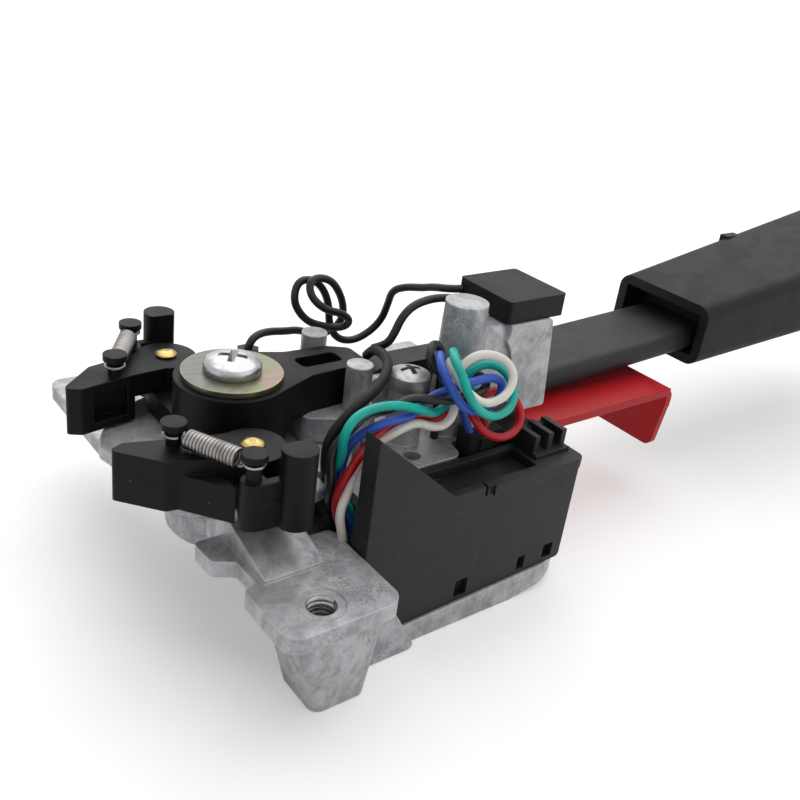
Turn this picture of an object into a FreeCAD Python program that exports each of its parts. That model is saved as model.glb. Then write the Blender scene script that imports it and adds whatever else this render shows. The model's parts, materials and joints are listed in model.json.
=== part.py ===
import FreeCAD, Part
import math
import os

from FreeCAD import Vector

# Combination stalk switch of a truck's steering column, in millimetres, +Z up.
# The origin is on the pivot axis, at the flat underside of the pivot boss.
# +X runs out along the lever. The steering shaft passes the switch on its -X side.

# Clearances
BODY_GAP = 0.3
RUN_GAP = 0.05
SEAT_GAP = 0.1

# Pivot stack: boss, lip, bush, washer and screw
LIP_TOP = 17.0
LIP_R = 22.6
LIP_T = 2.4
SHAFT_CLEAR_X = -43.0
SHAFT_CLEAR_R = 22.6
DRUM_R = 20.0
DRUM_KNEE_R = 15.5
DRUM_KNEE_Z = 10.0
DRUM_FOOT = 6.0
BOSS_R = 11.2
BOSS_CORE_R = 5.6
BOSS_WALL = 2.2
BOSS_HOLE_BOTTOM = 3.0
DRUM_RIBS = 6
RIB_T = 2.0
BUSH_R = 4.5
SCREW_R = 2.5
WASHER_R = 9.0
WASHER_T = 1.0
HEAD_R = 5.2
HEAD_H = 3.0
RECESS_L = 5.2
RECESS_W = 1.1
RECESS_H = 1.5

# Rotor: hub, slotted neck and two wings
HUB_R = 10.2
HUB_H = 12.6
NECK_W = 9.6
NECK_T = 7.6
NECK_END_X = 26.6
SLOT_X0 = 13.6
SLOT_X1 = 22.5
SLOT_W = 4.0
WING_T = 4.6
WING_SKEW = -2.6
PIN_X = -4.8
PIN_Y = 18.1
PIN_R = 1.5
PIN_BOSS_R = 5.6
PIN_HEAD_R = 2.0
PIN_HEAD_H = 0.9
WING_ARM_W = 9.0
WING_END_Y = 28.4
END_POST_X = -2.1
END_POST_R = 2.95
END_POST_H = 13.7
END_POST_FLAT = 0.9
SPRING_POST_X = -8.7
SPRING_POST_Y = 26.2
POST_R = 1.25
BUTTON_R = 2.1
BUTTON_H = 1.1

# Cancel pawls
PAWL_H = 9.0
PAWL_TIP_X = -26.1
PAWL_TIP_Y = 11.2
PAWL_NOSE_X = -23.4
PAWL_NOSE_Y = 9.8
PAWL_INNER_Y = 12.2
PAWL_BLOCK_X = -13.0
PAWL_POCKET_D = 3.6
PAWL_POCKET_WALL = 1.5
PAWL_POST_X = -16.3
PAWL_POST_Y = 13.2
STOP_ARM_T = 2.4
STOP_ARM_TOP = 6.4

# Pawl springs
SPRING_R = 1.7
SPRING_WIRE_R = 0.3
SPRING_TURNS = 9

# Die-cast lever holder and the hinge pin of the dimmer motion
PEG_X = 22.0
PEG_Y = 7.8
PEG_R = 2.5
PEG_H = 14.4
HOLDER_X0 = 11.4
EAR_X0 = 28.2
PLUNGER_X = 16.5
PLUNGER_R = 1.8
PLUNGER_TOP = 20.4
EAR_X1 = 36.0
EAR_T = 1.6
EAR_TOP = 26.2
HINGE_X = 32.0
HINGE_Z = 22.4
HINGE_R = 1.6

# Lever: tongue and bar, stalk, grip, end knob
BAR_W = 6.0
BAR_H = 9.4
BAR_END_X = 62.0
STALK_X0 = 71.0
STALK_W = 20.0
STALK_T = 5.4
STALK_BOTTOM = 15.9
STALK_RISE = 0.045
GRIP_X0 = 121.0
GRIP_L = 84.0
GRIP_W0 = 28.0
GRIP_W1 = 35.5
GRIP_Z0 = 15.5
GRIP_H0 = 15.4
GRIP_Z1 = 20.8
GRIP_H1 = 21.0
GRIP_CORNER = 3.4
GRIP_SOCKET = 7.0
GRIP_WALL = 2.4
TAIL_L = 11.0
TAIL_W = 24.0
TAIL_H = 21.0
KNOB_R = 10.6
KNOB_L = 20.0
KNOB_DOME = 2.6
KNOB_FLUTES = 20
FLUTE_R = 0.7
SPINDLE_R = 3.0
SPINDLE_L = 30.0

# Red hazard lever and its guide
RED_X0 = 59.0
RED_X1 = 107.0
RED_Y0 = -18.7
RED_Y1 = 2.5
RED_T = 1.8
RED_TOP = 15.0
FLAP_DROP = 16.0
STEM_X0 = 47.5
STEM_Y0 = -18.0
STEM_Y1 = -9.0
GUIDE_X1 = 58.5
GUIDE_SET_BACK = 2.8
GUIDE_H = 4.6

# Base casting: lugs, deck, shelf
LUG_TOP = 10.0
LUG_T = 3.0
LUG_HOLE_X = -5.0
LUG_HOLE_Y = 40.0
LUG_THREAD_R = 2.55
LUG_SPOT_R = 5.0
LUG_SPOT_D = 0.3
LUG_X0 = -14.0
LUG_X1 = 7.3
LUG_Y1 = 45.6
LUG_Y0 = 31.0
LUG_BACK_Y = 24.0
FAR_LUG_X0 = -16.6
FAR_LUG_Y1 = 47.8
FAR_LUG_ROOT_Y = 17.0
DECK_TOP = 12.8
DECK_T = 3.4
DECK_X1 = 57.5
DECK_Y0 = -23.4
DECK_Y1 = 24.0
SHELF_BOTTOM = -12.5
SHELF_T = 4.0
SHELF_X0 = 3.0
SHELF_X1 = 62.5
SHELF_Y0 = -34.6
SHELF_Y1 = -14.0
WALL_T = 2.8
FOOT_R = 4.5

# Gate bracket with its conical post, flange and drilled foot tab
FOOT_TAB_TOP = 17.0
FOOT_TAB_T = 2.0
TAB_X0 = 22.5
TAB_X1 = 47.0
TAB_Y0 = -23.3
TAB_Y1 = -8.9
TAB_HOLE_X = 27.6
TAB_HOLE_Y = -19.2
TAB_HOLE_R = 1.7
TOWER_X = 41.0
TOWER_Y = -13.3
TOWER_TOP = 43.6
TOWER_TOP_R = 4.1
TOWER_FOOT_R = 4.5
FLANGE_X0 = 49.0
FLANGE_X1 = 60.0
FLANGE_Y0 = -18.2
FLANGE_T = 5.4
FLANGE_TOP = 39.4
FLANGE_BOTTOM = 19.9
FIX_X = 29.8
FIX_Y = -13.0
FIX_BOSS_R = 3.4
FIX_BOSS_TOP = 28.0
FIX_R = 2.0
FIX_HEAD_R = 4.1
FIX_HEAD_H = 3.2

# Relay on the bracket
RELAY_X0 = 48.3
RELAY_X1 = 63.3
RELAY_Y0 = -17.6
RELAY_Y1 = -2.6
RELAY_H = 4.5
RELAY_LEG_DROP = 7.0
RELAY_LEG_T = 1.6

# Switch case and cover
CASE_X0 = 7.6
CASE_X1 = 58.0
CASE_Y0 = -34.0
CASE_Y1 = -24.0
CASE_BOTTOM = -8.6
CASE_RISE = 2.2
CASE_SEAM = 13.0
STEP_X = 29.6
STEP_TOP = 15.0
RIM_TOP = 17.0
RIM_PROUD = 0.7
RIM_X0 = 35.0
RECESS_WALL = 1.6
CHEEK_TOP = 32.6
CHEEK_T = 4.0
CHEEK_TOE_X = 25.5
CHEEK_TOE_Z = 17.4
SLOT_DEPTH = 1.6
NEAR_SLOT_X = 29.8
MID_SLOT_X = 45.9
END_SLOT_X = 52.8
GUARD_X0 = 47.5
GUARD_T = 1.2
GUARD_H = 4.4
TERMINAL_PITCH = 3.6

# Way through the casting for the wires, and the grommet in it
WIRE_WAY_X0 = 7.6
WIRE_BAY_X = 14.2
WIRE_BAY_Y = -29.6
WIRE_WAY_X1 = 14.6
WIRE_WAY_Y0 = -23.7
WIRE_WAY_Y1 = -16.4
GROMMET_TOP = 2.0
GATE_TOP = 21.0
GATE_X0 = 44.0
GATE_L = 10.0
GATE_Y0 = 12.5
GATE_T = 4.0

# Cords
CORD_REACH = 0.45
WIRE_R = 0.8
SLEEVE_R = 1.2
PLUG_X0 = 38.3
PLUG_X1 = 46.7
PLUG_Y0 = -22.9
PLUG_Y1 = -18.8
PLUG_TOP = 20.4
PLUG_LATCH = 3.0

# Cable saddle
CLIP_R = 2.4
CLIP_H = 9.0
CLIP_X = 12.5
CLIP_Y = 16.5


def block(x0, x1, y0, y1, z0, z1):
    return Part.makeBox(x1 - x0, y1 - y0, z1 - z0, Vector(x0, y0, z0))


def rod(x, y, z0, z1, radius):
    return Part.makeCylinder(radius, z1 - z0, Vector(x, y, z0))


def cone(x, y, z0, z1, radius0, radius1):
    return Part.makeCone(radius0, radius1, z1 - z0, Vector(x, y, z0))


def cross_rod(x, z, y0, y1, radius):
    return Part.makeCylinder(radius, y1 - y0, Vector(x, y0, z), Vector(0, 1, 0))


def fuse(first, *rest):
    return first.fuse(list(rest)).removeSplitter()


def mirrored(shape):
    return shape.mirror(Vector(0, 0, 0), Vector(0, 1, 0))


def corner_path(points, place):
    """Edges of a closed outline. A point is (u, v) or (u, v, r), where r rounds the corner."""
    count = len(points)
    arcs = []
    for i, point in enumerate(points):
        here = Vector(point[0], point[1], 0)
        before = Vector(points[i - 1][0], points[i - 1][1], 0)
        after = Vector(points[(i + 1) % count][0], points[(i + 1) % count][1], 0)
        radius = point[2] if len(point) > 2 else 0.0
        if radius <= 0:
            arcs.append((here, here, here))
            continue
        inward = (before - here).normalize()
        outward = (after - here).normalize()
        half = inward.getAngle(outward) / 2
        reach = radius / math.tan(half)
        middle = (inward + outward).normalize()
        touch = here + middle * (radius / math.sin(half) - radius)
        arcs.append((here + inward * reach, touch, here + outward * reach))
    edges = []
    for i, (start, touch, end) in enumerate(arcs):
        if (end - start).Length > 1e-6:
            edges.append(Part.Arc(place(start), place(touch), place(end)).toShape())
        following = arcs[(i + 1) % count][0]
        if (following - end).Length > 1e-6:
            edges.append(Part.LineSegment(place(end), place(following)).toShape())
    return Part.Wire(edges)


def plate(points, z0, z1):
    """A plate from its outline seen from above."""
    wire = corner_path(points, lambda p: Vector(p.x, p.y, z0))
    return Part.Face(wire).extrude(Vector(0, 0, z1 - z0))


def side_plate(points, y0, y1):
    """A plate from its outline seen along +Y, where a point is (x, z)."""
    wire = corner_path(points, lambda p: Vector(p.x, y0, p.y))
    return Part.Face(wire).extrude(Vector(0, y1 - y0, 0))


def end_plate(points, x0, x1):
    """A plate from its outline seen along X, where a point is (y, z)."""
    wire = corner_path(points, lambda p: Vector(x0, p.x, p.y))
    return Part.Face(wire).extrude(Vector(x1 - x0, 0, 0))


def section(x, width, z0, height, corner):
    """A rounded rectangle across the lever, for lofts."""
    half = width / 2
    points = [
        (-half, z0, corner), (half, z0, corner), (half, z0 + height, corner),
        (-half, z0 + height, corner),
    ]
    return corner_path(points, lambda p: Vector(x, p.x, p.y))


def turned(points):
    """A body of revolution about Z from its (radius, z) outline."""
    wire = corner_path(points, lambda p: Vector(p.x, 0, p.y))
    return Part.Face(wire).revolve(Vector(0, 0, 0), Vector(0, 0, 1), 360)


# Heights that follow from the stack on the pivot
ROTOR_BOTTOM = LIP_TOP + BODY_GAP
ROTOR_TOP = ROTOR_BOTTOM + HUB_H
BUSH_TOP = ROTOR_TOP + SEAT_GAP
WASHER_TOP = BUSH_TOP + WASHER_T
WING_TOP = ROTOR_BOTTOM + WING_T
PAWL_BOTTOM = ROTOR_BOTTOM + BODY_GAP
PAWL_TOP = PAWL_BOTTOM + PAWL_H
NECK_BOTTOM = ROTOR_TOP - NECK_T
BAR_BOTTOM = HINGE_Z - BAR_H / 2
BAR_TOP = HINGE_Z + BAR_H / 2
DECK_BOTTOM = DECK_TOP - DECK_T
GUIDE_X0 = TAB_X1 + GUIDE_SET_BACK


def pan_screw(x, y, seat, bottom, shank, head_r, head_h):
    """A pan-head screw with a cross recess, its head resting at the seat height."""
    head = turned(
        [
            (0, seat), (head_r, seat, 0.3), (head_r, seat + head_h * 0.45, 0.9),
            (head_r * 0.62, seat + head_h, 1.2), (0, seat + head_h),
        ],
    )
    recess_z = seat + head_h - RECESS_H
    arm = head_r / HEAD_R * RECESS_L / 2
    half = head_r / HEAD_R * RECESS_W / 2
    cross = fuse(
        block(-arm, arm, -half, half, recess_z, seat + head_h + 1),
        block(-half, half, -arm, arm, recess_z, seat + head_h + 1),
    )
    screw = fuse(head.cut(cross), rod(0, 0, bottom, seat, shank))
    screw.translate(Vector(x, y, 0))
    return screw


def pivot_parts():
    bush = rod(0, 0, LIP_TOP, BUSH_TOP, BUSH_R).cut(rod(0, 0, LIP_TOP, BUSH_TOP, SCREW_R))
    washer = rod(0, 0, BUSH_TOP, WASHER_TOP, WASHER_R).cut(rod(0, 0, BUSH_TOP, WASHER_TOP, SCREW_R))
    screw = pan_screw(0, 0, WASHER_TOP, BOSS_HOLE_BOTTOM, SCREW_R, HEAD_R, HEAD_H)
    return {"pivot_bush": bush, "pivot_washer": washer, "pivot_screw": screw}


def base_casting():
    deck = plate(
        [
            (WIRE_WAY_X0 + 1, WIRE_WAY_Y1, 1), (WIRE_WAY_X1, WIRE_WAY_Y1), (WIRE_WAY_X1, DECK_Y0),
            (DECK_X1, DECK_Y0, 3), (DECK_X1, DECK_Y1, 3), (8, DECK_Y1, 3),
        ],
        DECK_BOTTOM,
        DECK_TOP,
    )
    wall_y0 = CASE_Y1 + BODY_GAP
    back_wall = block(
        WIRE_WAY_X1, DECK_X1 - 2, wall_y0, wall_y0 + WALL_T, SHELF_BOTTOM + 1, DECK_BOTTOM + 1,
    )
    end_wall = block(
        DECK_X1 - 8, DECK_X1 - 8 + WALL_T, wall_y0, SHELF_Y1, SHELF_BOTTOM + 1, DECK_BOTTOM + 1,
    )
    feet = []
    for x in (8 + FOOT_R, DECK_X1 - FOOT_R):
        feet.append(cone(x, DECK_Y1 - FOOT_R, SHELF_BOTTOM, DECK_BOTTOM, FOOT_R - 1, FOOT_R))
    pad_top = FOOT_TAB_TOP - FOOT_TAB_T
    pads = [
        rod(FIX_X, FIX_Y, DECK_BOTTOM, pad_top, FIX_BOSS_R + 1),
        rod(TOWER_X, TOWER_Y, DECK_BOTTOM, pad_top, TOWER_FOOT_R),
    ]
    boss_low = LUG_TOP - LUG_T
    far_boss = cone(LUG_HOLE_X, LUG_HOLE_Y, 0, boss_low, LUG_SPOT_R - 0.8, LUG_SPOT_R)
    gate_far = block(GATE_X0, GATE_X0 + GATE_L, GATE_Y0, GATE_Y0 + GATE_T, DECK_BOTTOM, GATE_TOP)
    body = fuse(
        drum(), far_lug(), near_lug(), lug_web(1), lug_web(-1), far_boss, pillar(), deck, back_wall,
        end_wall, shelf(), *feet, *pads, gate_far,
    )
    way = plate(
        [
            (WIRE_WAY_X0, WIRE_WAY_Y0, 1), (WIRE_WAY_X1, WIRE_WAY_Y0, 1), (WIRE_WAY_X1, WIRE_WAY_Y1, 2),
            (WIRE_WAY_X0, WIRE_WAY_Y1, 2),
        ],
        -1,
        LIP_TOP + 1,
    )
    body = body.cut(way)
    body = body.cut(rod(0, 0, BOSS_HOLE_BOTTOM, LIP_TOP + 1, SCREW_R))
    body = body.cut(rod(FIX_X, FIX_Y, DECK_BOTTOM - 1, LIP_TOP + 1, FIX_R))
    for side in (-1, 1):
        y = side * LUG_HOLE_Y
        body = body.cut(rod(LUG_HOLE_X, y, 0, LUG_TOP + 1, LUG_THREAD_R))
        body = body.cut(rod(LUG_HOLE_X, y, LUG_TOP - LUG_SPOT_D, LUG_TOP + 1, LUG_SPOT_R - 1))
    return body


def gate_bracket():
    bottom = FOOT_TAB_TOP - FOOT_TAB_T
    foot = plate([
        (TAB_X0, TAB_Y0, 1.5), (36.4, TAB_Y0, 2.5), (37.6, -18.5, 1), (TAB_X1, -18.5, 1.5),
        (TAB_X1, TAB_Y1, 1.5), (TAB_X0, TAB_Y1, 1.5),
    ], bottom, FOOT_TAB_TOP)
    post = cone(TOWER_X, TOWER_Y, bottom, TOWER_TOP, TOWER_FOOT_R, TOWER_TOP_R)
    flange = side_plate([
        (FLANGE_X0, FLANGE_TOP), (FLANGE_X1, FLANGE_TOP, 1), (FLANGE_X1 + 0.8, 34),
        (FLANGE_X1 + 2.4, FLANGE_BOTTOM, 0.6), (FLANGE_X0 + 5.6, FLANGE_BOTTOM, 0.6),
        (FLANGE_X0 + 0.8, 34),
        (FLANGE_X0 - 0.6, 36.2), (FLANGE_X0, 37.3),
    ], FLANGE_Y0, FLANGE_Y0 + FLANGE_T)
    web = side_plate([
        (TOWER_X, bottom), (TOWER_X + 5.2, bottom), (FLANGE_X0 + 6, FLANGE_BOTTOM + 2),
        (FLANGE_X0 + 2, FLANGE_TOP - 1), (TOWER_X, FLANGE_TOP - 3),
    ], TOWER_Y - 1.6, FLANGE_Y0 + FLANGE_T)
    boss = rod(FIX_X, FIX_Y, bottom, FIX_BOSS_TOP, FIX_BOSS_R)
    body = fuse(foot, post, flange, web, boss)
    body = body.cut(rod(FIX_X, FIX_Y, bottom - 1, FIX_BOSS_TOP + 1, FIX_R))
    return body.cut(rod(TAB_HOLE_X, TAB_HOLE_Y, bottom - 1, FOOT_TAB_TOP + 1, TAB_HOLE_R))


def relay():
    box = plate(
        [
            (RELAY_X0, RELAY_Y0, 0.8), (RELAY_X1, RELAY_Y0, 0.8), (RELAY_X1, RELAY_Y1, 0.8),
            (RELAY_X0, RELAY_Y1, 0.8),
        ],
        FLANGE_TOP, FLANGE_TOP + RELAY_H,
    )
    leg = block(
        RELAY_X1 - RELAY_LEG_T, RELAY_X1, FLANGE_Y0 + FLANGE_T, FLANGE_Y0 + FLANGE_T + 5,
        FLANGE_TOP - RELAY_LEG_DROP, FLANGE_TOP,
    )
    return fuse(box, leg)


def rotor():
    half = NECK_W / 2
    hub = rod(0, 0, ROTOR_BOTTOM, ROTOR_TOP, HUB_R)
    neck = plate(
        [
            (0, -HUB_R), (HUB_R * 0.55, -HUB_R * 0.84, 3), (SLOT_X0, -half - 0.5, 6),
            (NECK_END_X - 4, -half, 2), (NECK_END_X, -half + 2.4, 1.5),
            (NECK_END_X, half - 2.4, 1.5), (NECK_END_X - 4, half, 2), (SLOT_X0, half + 0.5, 6),
            (HUB_R * 0.55, HUB_R * 0.84, 3), (0, HUB_R),
        ],
        NECK_BOTTOM,
        ROTOR_TOP,
    )
    slot = plate(
        [
            (SLOT_X0, -SLOT_W / 2, 1.2), (SLOT_X1, -SLOT_W / 2, 1.2), (SLOT_X1, SLOT_W / 2, 1.2),
            (SLOT_X0, SLOT_W / 2, 1.2),
        ],
        NECK_BOTTOM - 1,
        ROTOR_TOP + 1,
    )
    body = fuse(hub, neck, skewed(wing_far()), skewed(mirrored(wing_far()))).cut(slot)
    return body.cut(rod(0, 0, ROTOR_BOTTOM - 1, ROTOR_TOP + 1, BUSH_R + RUN_GAP))


def wing_far():
    """One wing of the rotor: arm, drive post and the post of the pawl spring."""
    left = PIN_X - WING_ARM_W / 2
    right = PIN_X + WING_ARM_W / 2
    edge = END_POST_X + END_POST_R
    arm = plate(
        [
            (left, 0), (right + 1.0, 0), (right + 1.0, PIN_Y - 5, 3), (edge, PIN_Y, 3),
            (edge, WING_END_Y),
            (SPRING_POST_X, WING_END_Y, 1.5), (SPRING_POST_X - BUTTON_R, SPRING_POST_Y, 1.2),
            (left + 1, PIN_Y + 2, 2), (left, PIN_Y - 3, 2),
        ],
        ROTOR_BOTTOM,
        WING_TOP,
    )
    post_y = WING_END_Y
    post = rod(END_POST_X, post_y, ROTOR_BOTTOM, ROTOR_BOTTOM + END_POST_H, END_POST_R)
    inner = post_y - END_POST_R + END_POST_FLAT
    flat = block(END_POST_X - 9, END_POST_X + 9, inner - 9, inner, WING_TOP, WASHER_TOP + 9)
    spring_post = hook_post(SPRING_POST_X, SPRING_POST_Y, WING_TOP, ROTOR_TOP + 0.6)
    column = rod(SPRING_POST_X, SPRING_POST_Y, ROTOR_BOTTOM, PAWL_TOP - 1, BUTTON_R)
    web = block(
        SPRING_POST_X, END_POST_X, SPRING_POST_Y + 0.4, SPRING_POST_Y + 2.0, ROTOR_BOTTOM, PAWL_TOP - 1,
    )
    body = fuse(arm, post.cut(flat), spring_post, column, web)
    return body.cut(rod(PIN_X, PIN_Y, ROTOR_BOTTOM - 1, WING_TOP + 1, PIN_R))


def hook_post(x, y, z0, z1):
    """A post with a button head that a spring hook is caught under."""
    shaft = rod(x, y, z0, z1 - BUTTON_H, POST_R)
    button = rod(x, y, z1 - BUTTON_H, z1, BUTTON_R)
    return fuse(shaft, button)


def pawl_far():
    """A pawl: tall nose block with a cored inner face, hub above the wing, stop arm outside."""
    hub_z = WING_TOP + BODY_GAP
    inner_y = PIN_Y - PIN_BOSS_R + 0.6
    outer_y = PIN_Y + PIN_BOSS_R - 0.6
    top = plate(
        [
            (PAWL_TIP_X, PAWL_TIP_Y, 0.8), (PAWL_NOSE_X, PAWL_NOSE_Y, 0.8),
            (PAWL_BLOCK_X, PAWL_INNER_Y, 5), (PIN_X, inner_y),
            (PIN_X, outer_y), (PAWL_BLOCK_X, PIN_Y + 1.6, 3), (PAWL_POST_X - 3.2, PIN_Y - 0.2, 1),
        ],
        hub_z,
        PAWL_TOP,
    )
    lower = plate(
        [
            (PAWL_TIP_X, PAWL_TIP_Y, 0.8), (PAWL_NOSE_X, PAWL_NOSE_Y, 0.8), (PAWL_BLOCK_X, PAWL_INNER_Y),
            (PAWL_BLOCK_X, PIN_Y - 1.5, 1),
            (PAWL_POST_X, PIN_Y + 0.3), (PAWL_POST_X - 3.2, PIN_Y - 0.2, 1),
        ],
        PAWL_BOTTOM,
        hub_z,
    )
    stop_x = SPRING_POST_X - BUTTON_R - BODY_GAP
    stop_y = SPRING_POST_Y - BUTTON_R * 0.4
    arm = plate(
        [
            (PAWL_POST_X - 1, PIN_Y - 2), (PAWL_POST_X - 1, PIN_Y + 0.2), (stop_x, stop_y),
            (stop_x, stop_y - STOP_ARM_T), (PAWL_POST_X + 3, PIN_Y - 2),
        ],
        PAWL_BOTTOM,
        PAWL_BOTTOM + STOP_ARM_TOP,
    )
    hub = rod(PIN_X, PIN_Y, hub_z, PAWL_TOP, PIN_BOSS_R)
    pocket = block(
        PAWL_NOSE_X + PAWL_POCKET_WALL + 0.8, PAWL_BLOCK_X - PAWL_POCKET_WALL, PAWL_NOSE_Y - 2,
        PAWL_NOSE_Y + PAWL_POCKET_D,
        PAWL_BOTTOM + PAWL_POCKET_WALL, PAWL_TOP - PAWL_POCKET_WALL,
    )
    post = hook_post(PAWL_POST_X, PAWL_POST_Y, PAWL_TOP - PAWL_POCKET_WALL, ROTOR_TOP + 0.9)
    body = fuse(fuse(top, lower, hub).cut(pocket), arm, post)
    return body.cut(rod(PIN_X, PIN_Y, hub_z - 1, PAWL_TOP + 1, PIN_R + RUN_GAP))


def pawl_pin():
    shaft = rod(0, 0, ROTOR_BOTTOM, PAWL_TOP + SEAT_GAP, PIN_R)
    z = PAWL_TOP + SEAT_GAP
    head = turned(
        [
            (0, z), (PIN_HEAD_R, z), (PIN_HEAD_R, z + 0.25),
            (PIN_HEAD_R * 0.6, z + PIN_HEAD_H * 0.9, 0.4), (0, z + PIN_HEAD_H),
        ],
    )
    pin = fuse(shaft, head)
    pin.translate(Vector(PIN_X, PIN_Y, 0))
    return pin


def pawl_spring():
    """A close-wound tension spring with a hook round each post."""
    z = PAWL_TOP + BODY_GAP + SPRING_R
    start = Vector(PAWL_POST_X, PAWL_POST_Y, z)
    end = Vector(SPRING_POST_X, SPRING_POST_Y, z)
    span = (end - start).Length
    hook_r = POST_R + SPRING_WIRE_R + RUN_GAP
    coil_0 = hook_r + 1.2
    coil_1 = span - hook_r - 1.2
    pitch = (coil_1 - coil_0) / SPRING_TURNS
    edges = []
    axis = [Vector(coil_0, 0, 0)]
    for i in range(SPRING_TURNS):
        a = Vector(coil_0 + i * pitch, SPRING_R - SPRING_WIRE_R, 0)
        b = Vector(coil_0 + (i + 0.5) * pitch, SPRING_R, 0)
        c = Vector(coil_0 + (i + 1) * pitch, SPRING_R - SPRING_WIRE_R, 0)
        edges.append(Part.Arc(a, b, c).toShape())
    first = Vector(coil_0, 0, 0)
    last = Vector(coil_1, 0, 0)
    edges.insert(0, Part.LineSegment(first, Vector(coil_0, SPRING_R - SPRING_WIRE_R, 0)).toShape())
    edges.append(Part.LineSegment(Vector(coil_1, SPRING_R - SPRING_WIRE_R, 0), last).toShape())
    edges.append(Part.LineSegment(last, first).toShape())
    coil = Part.Face(Part.Wire(edges)).revolve(Vector(0, 0, 0), Vector(1, 0, 0), 360)
    hooks = []
    for centre in (0, span):
        hooks.append(Part.makeTorus(hook_r, SPRING_WIRE_R, Vector(centre, 0, 0)))
    stems = [Part.makeCylinder(SPRING_WIRE_R, 1.4, Vector(hook_r, 0, 0), Vector(1, 0, 0))]
    stems.append(
        Part.makeCylinder(SPRING_WIRE_R, 1.4, Vector(span - hook_r - 1.4, 0, 0), Vector(1, 0, 0)),
    )
    spring = fuse(coil, *hooks, *stems)
    angle = math.degrees(math.atan2(end.y - start.y, end.x - start.x))
    spring.rotate(Vector(0, 0, 0), Vector(0, 0, 1), angle)
    spring.translate(start)
    return spring


def lever_holder():
    inner = BAR_W / 2 + BODY_GAP
    outer = inner + EAR_T
    top = NECK_BOTTOM
    plan = plate(
        [
            (HOLDER_X0, -7, 2), (PEG_X - 4, -PEG_Y - PEG_R, 2), (PEG_X + 3.5, -PEG_Y - PEG_R, 2),
            (EAR_X0 - 1, -outer, 1), (EAR_X0 - 1, outer, 1),
            (PEG_X + 3.5, PEG_Y + PEG_R, 2), (PEG_X - 4, PEG_Y + PEG_R, 2), (HOLDER_X0, 7, 2),
        ],
        ROTOR_BOTTOM,
        top,
    )
    hub_clear = rod(0, 0, ROTOR_BOTTOM - 1, top + 1, HUB_R + SEAT_GAP)
    tongue_room = block(HINGE_X - BAR_H / 2 - 1.0, EAR_X1 + 1, -inner, inner, ROTOR_BOTTOM - 1, top + 1)
    plunger_hole = rod(PLUNGER_X, 0, ROTOR_BOTTOM - 1, top + 1, PLUNGER_R + RUN_GAP)
    body = plan.cut([hub_clear, tongue_room, plunger_hole])
    peg_top = ROTOR_BOTTOM + PEG_H
    pegs = [rod(PEG_X, side * PEG_Y, ROTOR_BOTTOM, peg_top, PEG_R) for side in (-1, 1)]
    ears = []
    for side in (-1, 1):
        y0, y1 = sorted((side * inner, side * outer))
        ear = side_plate(
            [
                (EAR_X0 - 4, ROTOR_BOTTOM), (EAR_X1, ROTOR_BOTTOM, 1), (EAR_X1, EAR_TOP - 2, 2),
                (HINGE_X + 2.5, EAR_TOP, 1.5), (EAR_X0, EAR_TOP, 1.5), (EAR_X0 - 4, top),
            ],
            y0,
            y1,
        )
        ears.append(ear)
    body = fuse(body, *pegs, *ears)
    return body.cut(cross_rod(HINGE_X, HINGE_Z, -outer - 1, outer + 1, HINGE_R))


def hinge_pin():
    outer = BAR_W / 2 + BODY_GAP + EAR_T
    return cross_rod(HINGE_X, HINGE_Z, -outer, outer, HINGE_R)


def stalk_height(x):
    return STALK_BOTTOM + STALK_RISE * (x - STALK_X0)


def lever_arm():
    tongue = cross_rod(HINGE_X, HINGE_Z, -BAR_W / 2, BAR_W / 2, BAR_H / 2)
    bar = block(HINGE_X, BAR_END_X, -BAR_W / 2, BAR_W / 2, BAR_BOTTOM, BAR_TOP)
    corner = STALK_T / 2 - 0.3
    blend = Part.makeLoft([
        section(BAR_END_X, BAR_W, BAR_BOTTOM, BAR_H, 1.0),
        section(STALK_X0, STALK_W, STALK_BOTTOM, STALK_T, corner),
    ], True)
    socket_x = GRIP_X0 + GRIP_SOCKET
    stalk = Part.makeLoft([
        section(STALK_X0, STALK_W, STALK_BOTTOM, STALK_T, corner),
        section(socket_x, STALK_W, stalk_height(socket_x), STALK_T, corner),
    ], True)
    body = fuse(tongue, bar, blend, stalk)
    return body.cut(cross_rod(HINGE_X, HINGE_Z, -BAR_W, BAR_W, HINGE_R + RUN_GAP))


def grip():
    end_x = GRIP_X0 + GRIP_L
    tail_x = end_x + TAIL_L
    tail_z = GRIP_Z1 + (GRIP_H1 - TAIL_H) / 2
    body = Part.makeLoft([
        section(GRIP_X0, GRIP_W0, GRIP_Z0, GRIP_H0, GRIP_CORNER),
        section(end_x, GRIP_W1, GRIP_Z1, GRIP_H1, GRIP_CORNER),
    ], True)
    tail = Part.makeLoft([
        section(end_x, GRIP_W1, GRIP_Z1, GRIP_H1, GRIP_CORNER),
        section(tail_x, TAIL_W, tail_z, TAIL_H, GRIP_CORNER + 3),
    ], True)
    socket = block(
        GRIP_X0 - 1, GRIP_X0 + GRIP_SOCKET, -GRIP_W0 / 2 + GRIP_WALL, GRIP_W0 / 2 - GRIP_WALL,
        GRIP_Z0 + GRIP_WALL, GRIP_Z0 + GRIP_H0 - GRIP_WALL,
    )
    bore = Part.makeCylinder(
        SPINDLE_R, SPINDLE_L / 2, Vector(tail_x - SPINDLE_L / 2, 0, knob_height()), Vector(1, 0, 0),
    )
    ridge_x = GRIP_X0 + GRIP_L * 0.5
    ridge = block(
        ridge_x, ridge_x + 6, GRIP_W0 / 2 - 1.0, GRIP_W0 / 2 + 1.6, GRIP_Z0 + GRIP_H0,
        GRIP_Z0 + GRIP_H0 + 6.0,
    )
    return fuse(body, tail, ridge).cut(socket).cut(bore)


def knob_height():
    return GRIP_Z1 + GRIP_H1 / 2


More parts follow.
